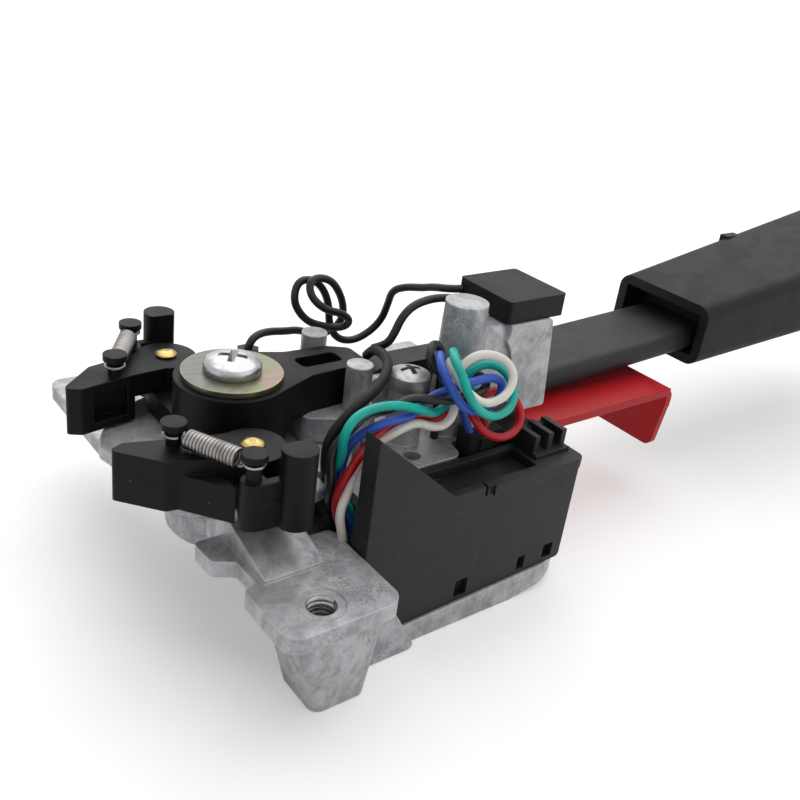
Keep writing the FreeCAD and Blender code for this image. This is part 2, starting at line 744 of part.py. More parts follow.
def knob_spindle():
    tail_x = GRIP_X0 + GRIP_L + TAIL_L
    return Part.makeCylinder(
        SPINDLE_R, SPINDLE_L, Vector(tail_x - SPINDLE_L / 2, 0, knob_height()), Vector(1, 0, 0),
    )


def light_knob():
    x0 = GRIP_X0 + GRIP_L + TAIL_L + BODY_GAP
    z = knob_height()
    outline = [
        (0, 0), (KNOB_R, 0, 0.6), (KNOB_R, KNOB_L - KNOB_DOME, 2.0), (KNOB_R * 0.5, KNOB_L, 3.0),
        (0, KNOB_L),
    ]
    wire = corner_path(outline, lambda p: Vector(x0 + p.y, 0, z + p.x))
    body = Part.Face(wire).revolve(Vector(x0, 0, z), Vector(1, 0, 0), 360)
    flutes = []
    for i in range(KNOB_FLUTES):
        angle = 2 * math.pi * i / KNOB_FLUTES
        y = (KNOB_R + FLUTE_R * 0.4) * math.cos(angle)
        dz = (KNOB_R + FLUTE_R * 0.4) * math.sin(angle)
        flutes.append(Part.makeCylinder(FLUTE_R, KNOB_L, Vector(x0 + 3, y, z + dz), Vector(1, 0, 0)))
    body = body.cut(flutes)
    bore = Part.makeCylinder(
        SPINDLE_R + RUN_GAP, SPINDLE_L / 2 + 1, Vector(x0 - 1, 0, z), Vector(1, 0, 0),
    )
    return body.cut(bore)


def hazard_lever():
    z0 = RED_TOP - RED_T
    sheet = plate([
        (RED_X0, RED_Y0 + 4, 2), (RED_X0 + 5, RED_Y0, 2), (RED_X1 - 1, RED_Y0), (RED_X1 - 1, RED_Y1),
        (RED_X0, RED_Y1, 2),
    ], z0, RED_TOP)
    stem = plate(
        [(STEM_X0, STEM_Y0, 1), (RED_X0 + 2, STEM_Y0), (RED_X0 + 2, STEM_Y1), (STEM_X0, STEM_Y1, 1)], z0,
        RED_TOP,
    )
    flap_bottom = RED_TOP - FLAP_DROP
    bend = side_plate(
        [
            (RED_X1 - 4, z0), (RED_X1 - 4, RED_TOP), (RED_X1, RED_TOP, 2.6), (RED_X1, z0 - 3),
            (RED_X1 - RED_T, z0 - 3), (RED_X1 - RED_T, z0, 0.8),
        ],
        RED_Y0, RED_Y1,
    )
    flap = end_plate(
        [(RED_Y0, z0 - 2), (RED_Y1, z0 - 2), (RED_Y1, flap_bottom, 2), (RED_Y0 + 1.4, flap_bottom, 2)],
        RED_X1 - RED_T, RED_X1,
    )
    return fuse(sheet, stem, bend, flap)


def hazard_guide():
    z0 = DECK_TOP
    body = block(GUIDE_X0, GUIDE_X1, DECK_Y0 + 1, STEM_Y1 + 3, z0, z0 + GUIDE_H)
    channel = block(
        GUIDE_X0 - 1, GUIDE_X1 + 1, STEM_Y0 - BODY_GAP, STEM_Y1 + BODY_GAP, RED_TOP - RED_T - BODY_GAP,
        RED_TOP + BODY_GAP,
    )
    return body.cut(channel)


def switch_case():
    body = side_plate(
        [
            (CASE_X0, CASE_BOTTOM), (CASE_X1, CASE_BOTTOM + CASE_RISE, 1), (CASE_X1, STEP_TOP),
            (STEP_X, STEP_TOP), (STEP_X, CASE_SEAM), (CASE_X0, CASE_SEAM),
        ],
        CASE_Y0,
        CASE_Y1,
    )
    notches = [wire_bay(CASE_BOTTOM - 1)]
    for x, width, foot, height in (
        (NEAR_SLOT_X, 3.1, 1.0, 3.8), (MID_SLOT_X, 2.0, 1.0, 3.0), (END_SLOT_X, 2.7, 1.2, 3.2),
    ):
        z = CASE_BOTTOM + CASE_RISE * (x - CASE_X0) / (CASE_X1 - CASE_X0) + foot
        notches.append(block(x, x + width, CASE_Y0 - 1, CASE_Y0 + SLOT_DEPTH, z, z + height))
    latch = side_plate(
        [(CASE_X1 - 1, 2.4), (CASE_X1, 2.4), (CASE_X1 + 1.0, 4.0), (CASE_X1, 7.0), (CASE_X1 - 1, 7.0)],
        CASE_Y0 + 2, CASE_Y1 - 2,
    )
    return fuse(body.cut(notches), latch)


def case_cover():
    left = block(CASE_X0, STEP_X, CASE_Y0, CASE_Y1, CASE_SEAM, STEP_TOP)
    top = block(CASE_X0, CASE_X1, CASE_Y0, CASE_Y1, STEP_TOP, RIM_TOP)
    rim = plate(
        [
            (RIM_X0, CASE_Y0 - RIM_PROUD), (CASE_X1 + RIM_PROUD, CASE_Y0 - RIM_PROUD, 2),
            (CASE_X1 + RIM_PROUD, CASE_Y1, 1), (RIM_X0, CASE_Y1),
        ],
        STEP_TOP,
        RIM_TOP,
    )
    recess = block(
        WIRE_BAY_X + RECESS_WALL, GUARD_X0, CASE_Y0 + RECESS_WALL, CASE_Y1 - RECESS_WALL, STEP_TOP,
        RIM_TOP + 1,
    )
    cheek = side_plate(
        [
            (CASE_X0, CASE_SEAM), (CASE_X0, CHEEK_TOP), (CHEEK_TOE_X, CHEEK_TOE_Z),
            (CHEEK_TOE_X, CASE_SEAM),
        ],
        CASE_Y0,
        CASE_Y0 + CHEEK_T,
    )
    notch = block(
        STEP_X + 3.6, STEP_X + 4.2, CASE_Y0 - 2, CASE_Y0 + RECESS_WALL + 1, STEP_TOP, RIM_TOP + 1,
    )
    lid = fuse(left, top, rim).cut([recess, notch, wire_bay(CASE_SEAM - 1)])
    return fuse(lid, cheek)


def terminal_block():
    z0 = RIM_TOP
    y1 = CASE_Y1
    floor = block(GUARD_X0 + 1, CASE_X1 - 0.5, CASE_Y1 - 7.0, y1, z0, z0 + 0.8)
    walls = [
        block(
            GUARD_X0 + 1 + i * TERMINAL_PITCH, GUARD_X0 + 1 + i * TERMINAL_PITCH + GUARD_T, CASE_Y1 - 6.0,
            y1, z0, z0 + GUARD_H,
        )
        for i in range(3)
    ]
    back = block(GUARD_X0 + 1, CASE_X1 - 0.5, y1 - GUARD_T, y1, z0, z0 + GUARD_H - 0.8)
    return fuse(floor, back, *walls)


def lead_plug():
    """Plug on the deck beside the gate bracket, which takes the ends of the looped wires."""
    x0 = PLUG_X0
    x1 = PLUG_X1
    body = plate(
        [
            (x0, PLUG_Y0, 0.6), (x1, PLUG_Y0, 0.6), (x1, PLUG_Y1, 0.6), (x0, PLUG_Y1, 0.6),
        ], DECK_TOP, PLUG_TOP
    )
    latch = block(
        (x0 + x1) / 2 - PLUG_LATCH / 2, (x0 + x1) / 2 + PLUG_LATCH / 2, PLUG_Y0 - 0.5, PLUG_Y0,
        DECK_TOP + 2, PLUG_TOP - 1,
    )
    return fuse(body, latch)


def lead_clip():
    """The hex nut of the cable saddle behind the pivot."""
    points = []
    for i in range(6):
        angle = math.radians(60 * i)
        points.append((CLIP_R * math.cos(angle), CLIP_R * math.sin(angle)))
    clip = plate(points, 0, CLIP_H)
    clip.translate(Vector(CLIP_X, CLIP_Y, LIP_TOP))
    return clip


def detent_plunger():
    """The sprung plunger that clicks over the lip of the casting."""
    tip = ROTOR_BOTTOM
    plunger = turned(
        [
            (0, tip), (PLUNGER_R * 0.5, tip, 0.4), (PLUNGER_R, tip + 1, 0.5), (PLUNGER_R, PLUNGER_TOP),
            (0, PLUNGER_TOP),
        ],
    )
    plunger.translate(Vector(PLUNGER_X, 0, 0))
    return plunger


def detent_spring():
    """The short spring above the plunger, closed in by the neck of the rotor."""
    coils = 3
    pitch = (NECK_BOTTOM - PLUNGER_TOP) / coils
    inner = PLUNGER_R - 3 * SPRING_WIRE_R
    outer = PLUNGER_R - 2 * RUN_GAP
    rings = []
    for i in range(coils):
        z = PLUNGER_TOP + i * pitch
        rings.append(rod(0, 0, z, z + pitch, outer - SPRING_WIRE_R))
        rings.append(
            turned(
                [
                    (0, z + pitch * 0.2), (outer, z + pitch * 0.2, 0.1), (outer, z + pitch * 0.8, 0.1),
                    (0, z + pitch * 0.8),
                ],
            ),
        )
    spring = fuse(*rings).cut(rod(0, 0, PLUNGER_TOP, NECK_BOTTOM, inner))
    spring.translate(Vector(PLUNGER_X, 0, 0))
    return spring


def near_lug():
    """The near lug with its raised tongue, seen in front in the photo."""
    bottom = LUG_TOP - LUG_T
    return plate(
        [
            (LUG_X0 - 1.3, -FAR_LUG_ROOT_Y, 1), (LUG_X0 - 1.0, -LUG_BACK_Y + 1.0, 1),
            (LUG_X0 + 2.5, -LUG_BACK_Y - 1.0, 1),
            (LUG_X0 + 2.5, -LUG_Y0, 1), (LUG_X0, -LUG_Y0 - 0.8, 1), (LUG_X0, -LUG_Y1, 3),
            (LUG_X1, -LUG_Y1, 3),
            (LUG_X1, -LUG_BACK_Y, 1.5), (LUG_X1 - 6, -LUG_BACK_Y, 1), (LUG_X1 - 6, -FAR_LUG_ROOT_Y, 1),
        ],
        bottom,
        LUG_TOP,
    )


def far_lug():
    """The far lug is a long tongue that runs out from under the drum."""
    bottom = LUG_TOP - LUG_T
    return plate(
        [
            (FAR_LUG_X0, FAR_LUG_ROOT_Y, 3), (FAR_LUG_X0, FAR_LUG_Y1, 3), (LUG_X1, FAR_LUG_Y1, 3),
            (LUG_X1, DRUM_KNEE_R - 5, 3), (-2, DRUM_KNEE_R - 5),
        ],
        bottom,
        LUG_TOP,
    )


def lug_web(side):
    """A sloping web from the drum's lip down to a lug."""
    outline = [
        (DRUM_KNEE_R - 3, LUG_TOP - LUG_T), (LUG_Y0 + 1, LUG_TOP - LUG_T), (LUG_Y0 + 1, LUG_TOP + 0.6),
        (DRUM_R, LIP_TOP - LIP_T), (DRUM_KNEE_R - 3, LIP_TOP - LIP_T),
    ]
    web = end_plate(outline, LUG_X0 + 3.5, LUG_X1 - 6.5)
    return web if side > 0 else mirrored(web)


def pillar():
    """The drafted pillar under the near lug, down to the level of the shelf."""
    x0 = LUG_X0 + 3.5
    x1 = LUG_X1 - 1.5
    y0 = -LUG_Y1 + 1.6
    y1 = -LUG_Y0 + 1
    top = corner_path(
        [(x0, y0, 2), (x1, y0, 2), (x1, y1, 2), (x0, y1, 2)],
        lambda p: Vector(p.x, p.y, LUG_TOP - LUG_T),
    )
    foot = corner_path(
        [(x0 + 5.5, y0 + 3, 2), (x1, y0 + 3, 2), (x1, y1, 2), (x0 + 5.5, y1, 2)],
        lambda p: Vector(p.x, p.y, SHELF_BOTTOM),
    )
    return Part.makeLoft([top, foot], True)


def drum():
    """Lip, funnel-shaped drum and pivot boss, cored and ribbed from below."""
    outside = turned([
        (0, 0), (BOSS_R, 0, 1.0), (BOSS_R, DRUM_FOOT, 2), (DRUM_KNEE_R, DRUM_KNEE_Z, 2),
        (DRUM_R, LIP_TOP - LIP_T, 1), (LIP_R, LIP_TOP - LIP_T, 0.4), (LIP_R, LIP_TOP, 0.6), (0, LIP_TOP),
    ])
    core = turned([
        (BOSS_CORE_R, -1), (BOSS_R - BOSS_WALL, -1), (BOSS_R - BOSS_WALL, DRUM_FOOT, 2),
        (DRUM_KNEE_R - BOSS_WALL, DRUM_KNEE_Z, 1), (DRUM_KNEE_R - BOSS_WALL, LIP_TOP - 2 * LIP_T),
        (BOSS_CORE_R, LIP_TOP - 2 * LIP_T),
    ])
    ribs = []
    for i in range(DRUM_RIBS):
        rib = block(BOSS_CORE_R - 1, BOSS_R - 1, -RIB_T / 2, RIB_T / 2, RIB_T, LIP_TOP - LIP_T)
        rib.rotate(Vector(0, 0, 0), Vector(0, 0, 1), 360 / DRUM_RIBS * (i + 0.5))
        ribs.append(rib)
    shaft_room = rod(SHAFT_CLEAR_X, 0, -1, LIP_TOP + 1, SHAFT_CLEAR_R)
    return fuse(outside.cut(core), *ribs).cut(shaft_room)


def shelf():
    """The shelf that carries the switch case, with a buttress beside the pillar."""
    plan = plate(
        [
            (SHELF_X0, SHELF_Y0, 1), (SHELF_X1, SHELF_Y0, 11), (SHELF_X1, SHELF_Y1, 5),
            (SHELF_X0, SHELF_Y1, 1),
        ],
        SHELF_BOTTOM - 1,
        CASE_BOTTOM + CASE_RISE + 1,
    )
    slope = CASE_RISE / (CASE_X1 - CASE_X0)
    left_z = CASE_BOTTOM - slope * (CASE_X0 - SHELF_X0)
    right_z = CASE_BOTTOM + slope * (SHELF_X1 - CASE_X0)
    profile = side_plate(
        [
            (SHELF_X0, SHELF_BOTTOM), (SHELF_X1 - 17, SHELF_BOTTOM, 9),
            (SHELF_X1, right_z - SHELF_T + 0.6), (SHELF_X1, right_z), (SHELF_X0, left_z),
        ],
        SHELF_Y0 - 1,
        SHELF_Y1 + 1,
    )
    buttress = side_plate(
        [
            (-2, LUG_TOP - LUG_T), (LUG_X1 + 1.2, LUG_TOP - LUG_T, 1), (20.0, SHELF_BOTTOM, 1),
            (-2, SHELF_BOTTOM),
        ],
        SHELF_Y0 - 1.6,
        CASE_Y0 - SEAT_GAP,
    )
    return fuse(plan.common(profile), buttress)


def skewed(shape):
    """The wings stand a little skewed to the neck."""
    turned_shape = shape.copy()
    turned_shape.rotate(Vector(0, 0, 0), Vector(0, 0, 1), WING_SKEW)
    return turned_shape


def wire_grommet():
    """Rubber block on the shelf behind the case, where all the wires go down and out."""
    x0 = CASE_X0 + 0.2
    x1 = WIRE_BAY_X - 0.2
    y0 = WIRE_BAY_Y + 0.2
    y1 = WIRE_WAY_Y1 - 0.4
    block_up = plate([(x0, y0, 1), (x1, y0, 1), (x1, y1, 1), (x0, y1, 1)], SHELF_BOTTOM + 1, GROMMET_TOP)
    return block_up.cut(shelf())


def cord(points, radius):
    """A cord along straight runs with tangent arcs between them."""
    corners = [Vector(*p) for p in points]
    edges = []
    start = corners[0]
    tightest = None
    for i in range(1, len(corners) - 1):
        back = corners[i - 1] - corners[i]
        ahead = corners[i + 1] - corners[i]
        run = min(back.Length, ahead.Length)
        back.normalize()
        ahead.normalize()
        half = back.getAngle(ahead) / 2
        reach = CORD_REACH * run
        bend = reach * math.tan(half)
        middle = (back + ahead).normalize()
        arc_start = corners[i] + back * reach
        arc_end = corners[i] + ahead * reach
        touch = corners[i] + middle * (bend / math.sin(half) - bend)
        edges.append(Part.LineSegment(start, arc_start).toShape())
        edges.append(Part.Arc(arc_start, touch, arc_end).toShape())
        start = arc_end
        tightest = bend if tightest is None else min(tightest, bend)
    edges.append(Part.LineSegment(start, corners[-1]).toShape())
    spine = Part.Wire(edges)
    ring = Part.Wire(Part.makeCircle(radius, corners[0], corners[1] - corners[0]))
    tube = spine.makePipeShell([ring], True, False)
    share = tube.Volume / (math.pi * radius ** 2 * spine.Length)
    print(
        "cord length", round(spine.Length, 1), "tightest bend", round(tightest, 2), "volume share",
        round(share, 4),
    )
    return tube


def wire_routes():
    """Corner points of every wire from its first end to its last, in millimetres."""
    return {
        "wire_white": [
            (9.6, -26.6, GROMMET_TOP), (9.3, -27.0, 6.4), (8.4, -27.7, 10.8), (7.2, -27.2, 15.2),
            (8.0, -26.3, 19.6), (10.5, -25.0, 23.0), (14.4, -24.0, 25.1), (18.5, -24.8, 27.2),
            (22.9, -24.2, 27.7), (26.2, -25.1, 26.2), (29.0, -25.4, 26.3), (30.9, -25.0, 28.0),
            (31.6, -23.8, 30.7), (32.3, -22.2, 34.5), (35.6, -22.9, 37.9), (39.4, -24.8, 37.9),
            (41.5, -26.7, 36.2), (41.4, -28.1, 33.6), (39.1, -28.7, 31.2), (35.0, -28.3, 30.4),
            (31.4, -27.8, 32.8), (29.7, -26.4, 35.1), (29.6, -24.2, 36.4), (30.8, -21.7, 36.7),
            (33.4, -19.7, 35.5), (35.2, -17.6, 32.1), (37.0, -17.9, 28.1), (40.4, -18.8, 24.8),
            (41.0, -19.9, PLUG_TOP),
        ],
        "wire_red": [
            (10.6, -24.4, GROMMET_TOP), (9.8, -24.9, 6.6), (8.4, -25.6, 11.1), (6.1, -25.2, 15.4),
            (5.9, -25.9, 20.1), (8.3, -25.7, 24.1), (12.0, -24.3, 26.3), (16.0, -23.3, 28.3),
            (20.2, -22.2, 27.3), (24.6, -22.2, 26.7), (28.9, -21.9, 25.3), (33.3, -21.1, 26.0),
            (37.9, -22.4, 27.6), (42.5, -22.3, 29.2), (46.2, -24.0, 28.2), (47.2, -26.3, 25.3),
            (45.4, -27.7, 22.6), (41.5, -27.8, 21.6), (36.9, -27.2, 23.7), (35.0, -25.2, 27.0),
            (35.3, -22.9, 28.9), (36.8, -20.9, 29.4), (39.2, -20.0, 27.7), (42.4, -20.4, 24.5),
            (43.4, -21.4, PLUG_TOP),
        ],
        "wire_blue": [
            (12.2, -26.0, GROMMET_TOP), (12.0, -25.7, 6.4), (10.7, -24.5, 10.6), (8.2, -23.9, 14.3),
            (8.0, -24.5, 18.7), (9.0, -22.9, 23.1), (9.9, -23.2, 27.2), (13.4, -24.7, 29.3),
            (18.2, -24.9, 29.9), (22.4, -22.8, 29.0), (26.7, -22.2, 30.7), (30.5, -24.8, 33.2),
            (35.6, -25.5, 34.1), (38.8, -25.6, 33.9), (40.8, -25.9, 32.7), (40.6, -26.3, 30.8),
            (38.8, -26.6, 29.0), (35.1, -27.0, 28.4), (30.6, -27.9, 30.1), (27.5, -27.5, 33.9),
            (26.8, -25.6, 37.2), (27.8, -22.9, 39.0), (29.9, -20.4, 38.6), (31.5, -18.2, 35.9),
            (32.6, -18.4, 31.8), (35.7, -19.6, 28.7), (37.9, -20.1, 24.5), (39.2, -21.6, PLUG_TOP),
        ],
        "wire_teal": [
            (12.6, -23.4, GROMMET_TOP), (12.5, -23.1, 6.8), (12.1, -23.2, 11.8), (9.2, -22.2, 15.6),
            (6.8, -22.2, 19.7), (6.5, -24.8, 24.2), (6.1, -25.3, 29.1), (9.3, -24.3, 32.4),
            (14.1, -24.3, 33.0), (19.2, -24.4, 32.2), (23.8, -24.9, 30.0), (28.0, -23.3, 27.6),
            (32.1, -22.3, 28.6), (34.1, -22.2, 32.5), (37.5, -22.5, 35.4), (41.6, -23.4, 34.9),
            (43.8, -25.1, 32.4), (43.4, -27.2, 29.7), (40.7, -28.7, 28.0), (36.2, -29.3, 28.1),
            (31.9, -29.8, 30.7), (28.7, -30.0, 34.5), (28.4, -28.4, 38.5), (28.8, -25.1, 40.3),
            (31.0, -21.7, 39.8), (33.9, -19.2, 37.3), (36.8, -17.9, 34.0), (38.2, -18.3, 29.6),
            (42.0, -19.0, 27.5), (45.2, -19.4, 24.6), (45.2, -19.9, PLUG_TOP),
        ],
        "wire_black": [
            (13.2, -21.0, GROMMET_TOP), (12.7, -20.8, 7.0), (11.0, -20.5, 12.0), (7.3, -22.1, 14.2),
            (5.8, -23.7, 17.9), (4.1, -23.5, 21.9), (5.9, -22.5, 25.9), (9.0, -24.2, 29.4),
            (13.2, -23.5, 31.3), (17.9, -22.7, 30.3), (22.4, -22.4, 31.7), (26.2, -24.8, 31.5),
            (30.9, -25.9, 31.0), (35.2, -26.0, 31.5), (38.0, -25.0, 32.0), (38.9, -23.1, 32.6),
            (38.0, -21.2, 32.9), (35.2, -20.2, 32.7), (31.5, -20.6, 33.1), (28.9, -20.0, 35.1),
            (28.6, -18.7, 37.2), (30.1, -17.3, 38.2), (32.8, -16.0, 37.4), (35.3, -14.9, 34.3),
            (35.8, -14.9, 28.7), (35.7, -15.3, 22.8), (35.8, -15.6, FOOT_TAB_TOP),
        ],
        "sleeve_lead": [
            (10.6, -19.0, GROMMET_TOP), (10.2, -18.5, 8.8), (10.2, -18.3, 16.0), (6.3, -20.4, 20.6),
            (6.6, -20.6, 26.6), (11.4, -20.5, 31.6), (18.5, -18.7, 32.5), (24.2, -14.3, 33.5),
            (25.0, -7.4, 34.4),
        ],
        "relay_lead_short": [
            (25.1, -7.4, 34.4), (29.2, -7.4, 35.8), (31.1, -7.4, 40.0), (35.0, -7.1, 42.3),
            (39.5, -7.2, 42.6), (43.9, -7.5, 41.6), (48.3, -7.5, 41.0),
        ],
        "relay_lead_long": [
            (12.5, 16.5, 26.0), (13.0, 16.6, 27.4), (15.0, 17.2, 28.4),
            (18.0, 17.6, 28.4), (21.6, 18.2, 27.6),
            (25.6, 19.0, 27.0), (29.4, 19.4, 25.2), (32.6, 18.8, 25.3), (34.9, 18.0, 27.1),
            (35.4, 17.2, 30.2), (33.8, 16.4, 34.2), (31.0, 15.8, 38.0), (28.0, 15.6, 39.4),
            (25.5, 15.3, 39.4), (24.4, 14.6, 38.1), (24.8, 13.6, 36.0), (27.2, 12.4, 33.8),
            (31.1, 12.1, 32.6), (33.4, 12.4, 30.9), (33.8, 13.2, 29.3), (32.6, 14.3, 28.3),
            (29.8, 15.3, 28.5), (25.7, 16.1, 29.9), (22.9, 16.7, 33.3), (22.7, 17.2, 36.3),
            (24.0, 17.6, 38.4), (26.5, 17.6, 38.5), (29.3, 17.5, 36.9), (31.3, 17.1, 32.9),
            (31.6, 16.8, 28.1), (33.7, 16.4, 24.7), (37.6, 16.0, 23.8), (41.1, 15.2, 25.6),
            (43.4, 14.3, 28.6), (43.8, 13.4, 32.4), (43.4, 12.0, 36.1), (44.2, 8.6, 38.0),
            (45.3, 5.0, 39.0), (45.5, 1.6, 40.4), (46.0, -2.4, 41.4), (48.3, -3.6, 41.6),
        ],
    }


def wires():
    shapes = {}
    for name, points in wire_routes().items():
        shapes[name] = cord(points, SLEEVE_R if name == "sleeve_lead" else WIRE_R)
    return shapes


def wire_bay(bottom):
    """The corner left out of the case, where the wires go down."""
    return block(CASE_X0 - 1, WIRE_BAY_X, WIRE_BAY_Y, CASE_Y1 + 1, bottom, RIM_TOP + 1)


def build():
    nodes = {"base_casting": base_casting(), "gate_bracket": gate_bracket(), "relay": relay()}
    nodes.update(pivot_parts())
    nodes["bracket_screw"] = pan_screw(
        FIX_X, FIX_Y, FIX_BOSS_TOP, DECK_BOTTOM, FIX_R, FIX_HEAD_R, FIX_HEAD_H,
    )
    nodes["switch_case"] = switch_case()
    nodes["case_cover"] = case_cover()
    nodes["terminal_block"] = terminal_block()
    nodes["lead_plug"] = lead_plug()
    nodes["hazard_guide"] = hazard_guide()
    nodes["hazard_lever"] = hazard_lever()
    nodes["rotor"] = rotor()
    nodes["lever_holder"] = lever_holder()
    nodes["hinge_pin"] = hinge_pin()
    for name, shape in (("pawl", pawl_far()), ("pawl_pin", pawl_pin()), ("spring", pawl_spring())):
        nodes[name + "_far"] = skewed(shape)
        nodes[name + "_near"] = skewed(mirrored(shape))
    nodes["detent_plunger"] = detent_plunger()
    nodes["detent_spring"] = detent_spring()
    nodes["lead_clip"] = lead_clip()
    nodes["wire_grommet"] = wire_grommet()
    nodes["lever_arm"] = lever_arm()
    nodes["grip"] = grip()
    nodes["knob_spindle"] = knob_spindle()
    nodes["light_knob"] = light_knob()
    nodes.update(wires())
    return nodes


os.makedirs("parts", exist_ok=True)
for name, shape in build().items():
    shape.exportStep("parts/" + name + ".step")
    print(name, "solids", len(shape.Solids), "valid", shape.isValid(), "volume", round(shape.Volume, 1))
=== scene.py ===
# %% [markdown]
# Combination stalk switch of a truck, taken off its steering column and standing on a white
# sheet. The moving switch is a cast metal base with a black plastic rotor, two sprung pawls that
# cancel the turn signal, a black switch case, a red side lever, loops of thin wire and a long
# black lever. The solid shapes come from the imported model. This lesson adds the finishes, the
# wires, the springs, the screws and rivets, the threads in the holes, the light and the camera.

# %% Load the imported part
import json
import math

import bmesh
import bpy
from mathutils import Matrix, Quaternion, Vector


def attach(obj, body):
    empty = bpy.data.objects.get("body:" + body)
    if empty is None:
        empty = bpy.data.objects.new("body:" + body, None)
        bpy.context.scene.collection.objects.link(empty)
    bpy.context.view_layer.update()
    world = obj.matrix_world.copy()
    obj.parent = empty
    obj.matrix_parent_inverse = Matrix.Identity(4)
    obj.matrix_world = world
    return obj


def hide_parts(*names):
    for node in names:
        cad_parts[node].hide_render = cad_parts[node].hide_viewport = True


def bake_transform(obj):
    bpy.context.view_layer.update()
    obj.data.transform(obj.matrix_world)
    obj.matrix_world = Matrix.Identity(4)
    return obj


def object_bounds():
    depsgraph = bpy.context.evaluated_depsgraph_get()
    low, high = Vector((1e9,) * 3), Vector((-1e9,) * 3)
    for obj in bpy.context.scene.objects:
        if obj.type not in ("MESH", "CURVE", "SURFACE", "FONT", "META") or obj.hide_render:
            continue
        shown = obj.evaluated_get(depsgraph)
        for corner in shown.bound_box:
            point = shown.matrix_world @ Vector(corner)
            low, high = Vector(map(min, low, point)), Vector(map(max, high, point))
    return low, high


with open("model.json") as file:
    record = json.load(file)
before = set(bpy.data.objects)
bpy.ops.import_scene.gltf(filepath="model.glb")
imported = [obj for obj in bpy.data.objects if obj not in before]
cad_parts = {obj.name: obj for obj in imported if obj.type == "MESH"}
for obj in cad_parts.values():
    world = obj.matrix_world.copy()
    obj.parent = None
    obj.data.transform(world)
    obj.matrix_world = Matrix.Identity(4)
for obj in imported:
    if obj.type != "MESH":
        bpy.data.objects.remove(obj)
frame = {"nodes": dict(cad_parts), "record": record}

MM = 0.001
cad_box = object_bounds()

# %% [markdown]
# The camera stands low and close to the switch and looks out along the lever. Its place, turn,
# tilt and roll were worked out from the round washer and the two lug holes, so they are kept as
# plain numbers. The lens is a normal one, and the picture is square.

# %% Camera
CAMERA_AT = Vector((-74.842, -133.032, 104.676)) * MM
CAMERA_TURN = math.radians(40.65)
CAMERA_TILT = math.radians(26.6)
CAMERA_ROLL = math.radians(7.95)
LENS = 42.75
SENSOR = 36.0
NEAREST = 0.01
FARTHEST = 20.0

look = Vector((
    math.sin(CAMERA_TURN) * math.cos(CAMERA_TILT),
    math.cos(CAMERA_TURN) * math.cos(CAMERA_TILT),
    -math.sin(CAMERA_TILT),
))
camera_data = bpy.data.cameras.new("camera")
camera_data.lens = LENS
camera_data.sensor_width = SENSOR
camera_data.clip_start = NEAREST
camera_data.clip_end = FARTHEST
camera = bpy.data.objects.new("camera", camera_data)
camera.location = CAMERA_AT
camera.rotation_mode = "QUATERNION"
camera.rotation_quaternion = look.to_track_quat("-Z", "Y") @ Quaternion((0, 0, 1), CAMERA_ROLL)
bpy.context.scene.collection.objects.link(camera)
bpy.context.scene.camera = camera
print("camera looks along", [round(x, 3) for x in look])
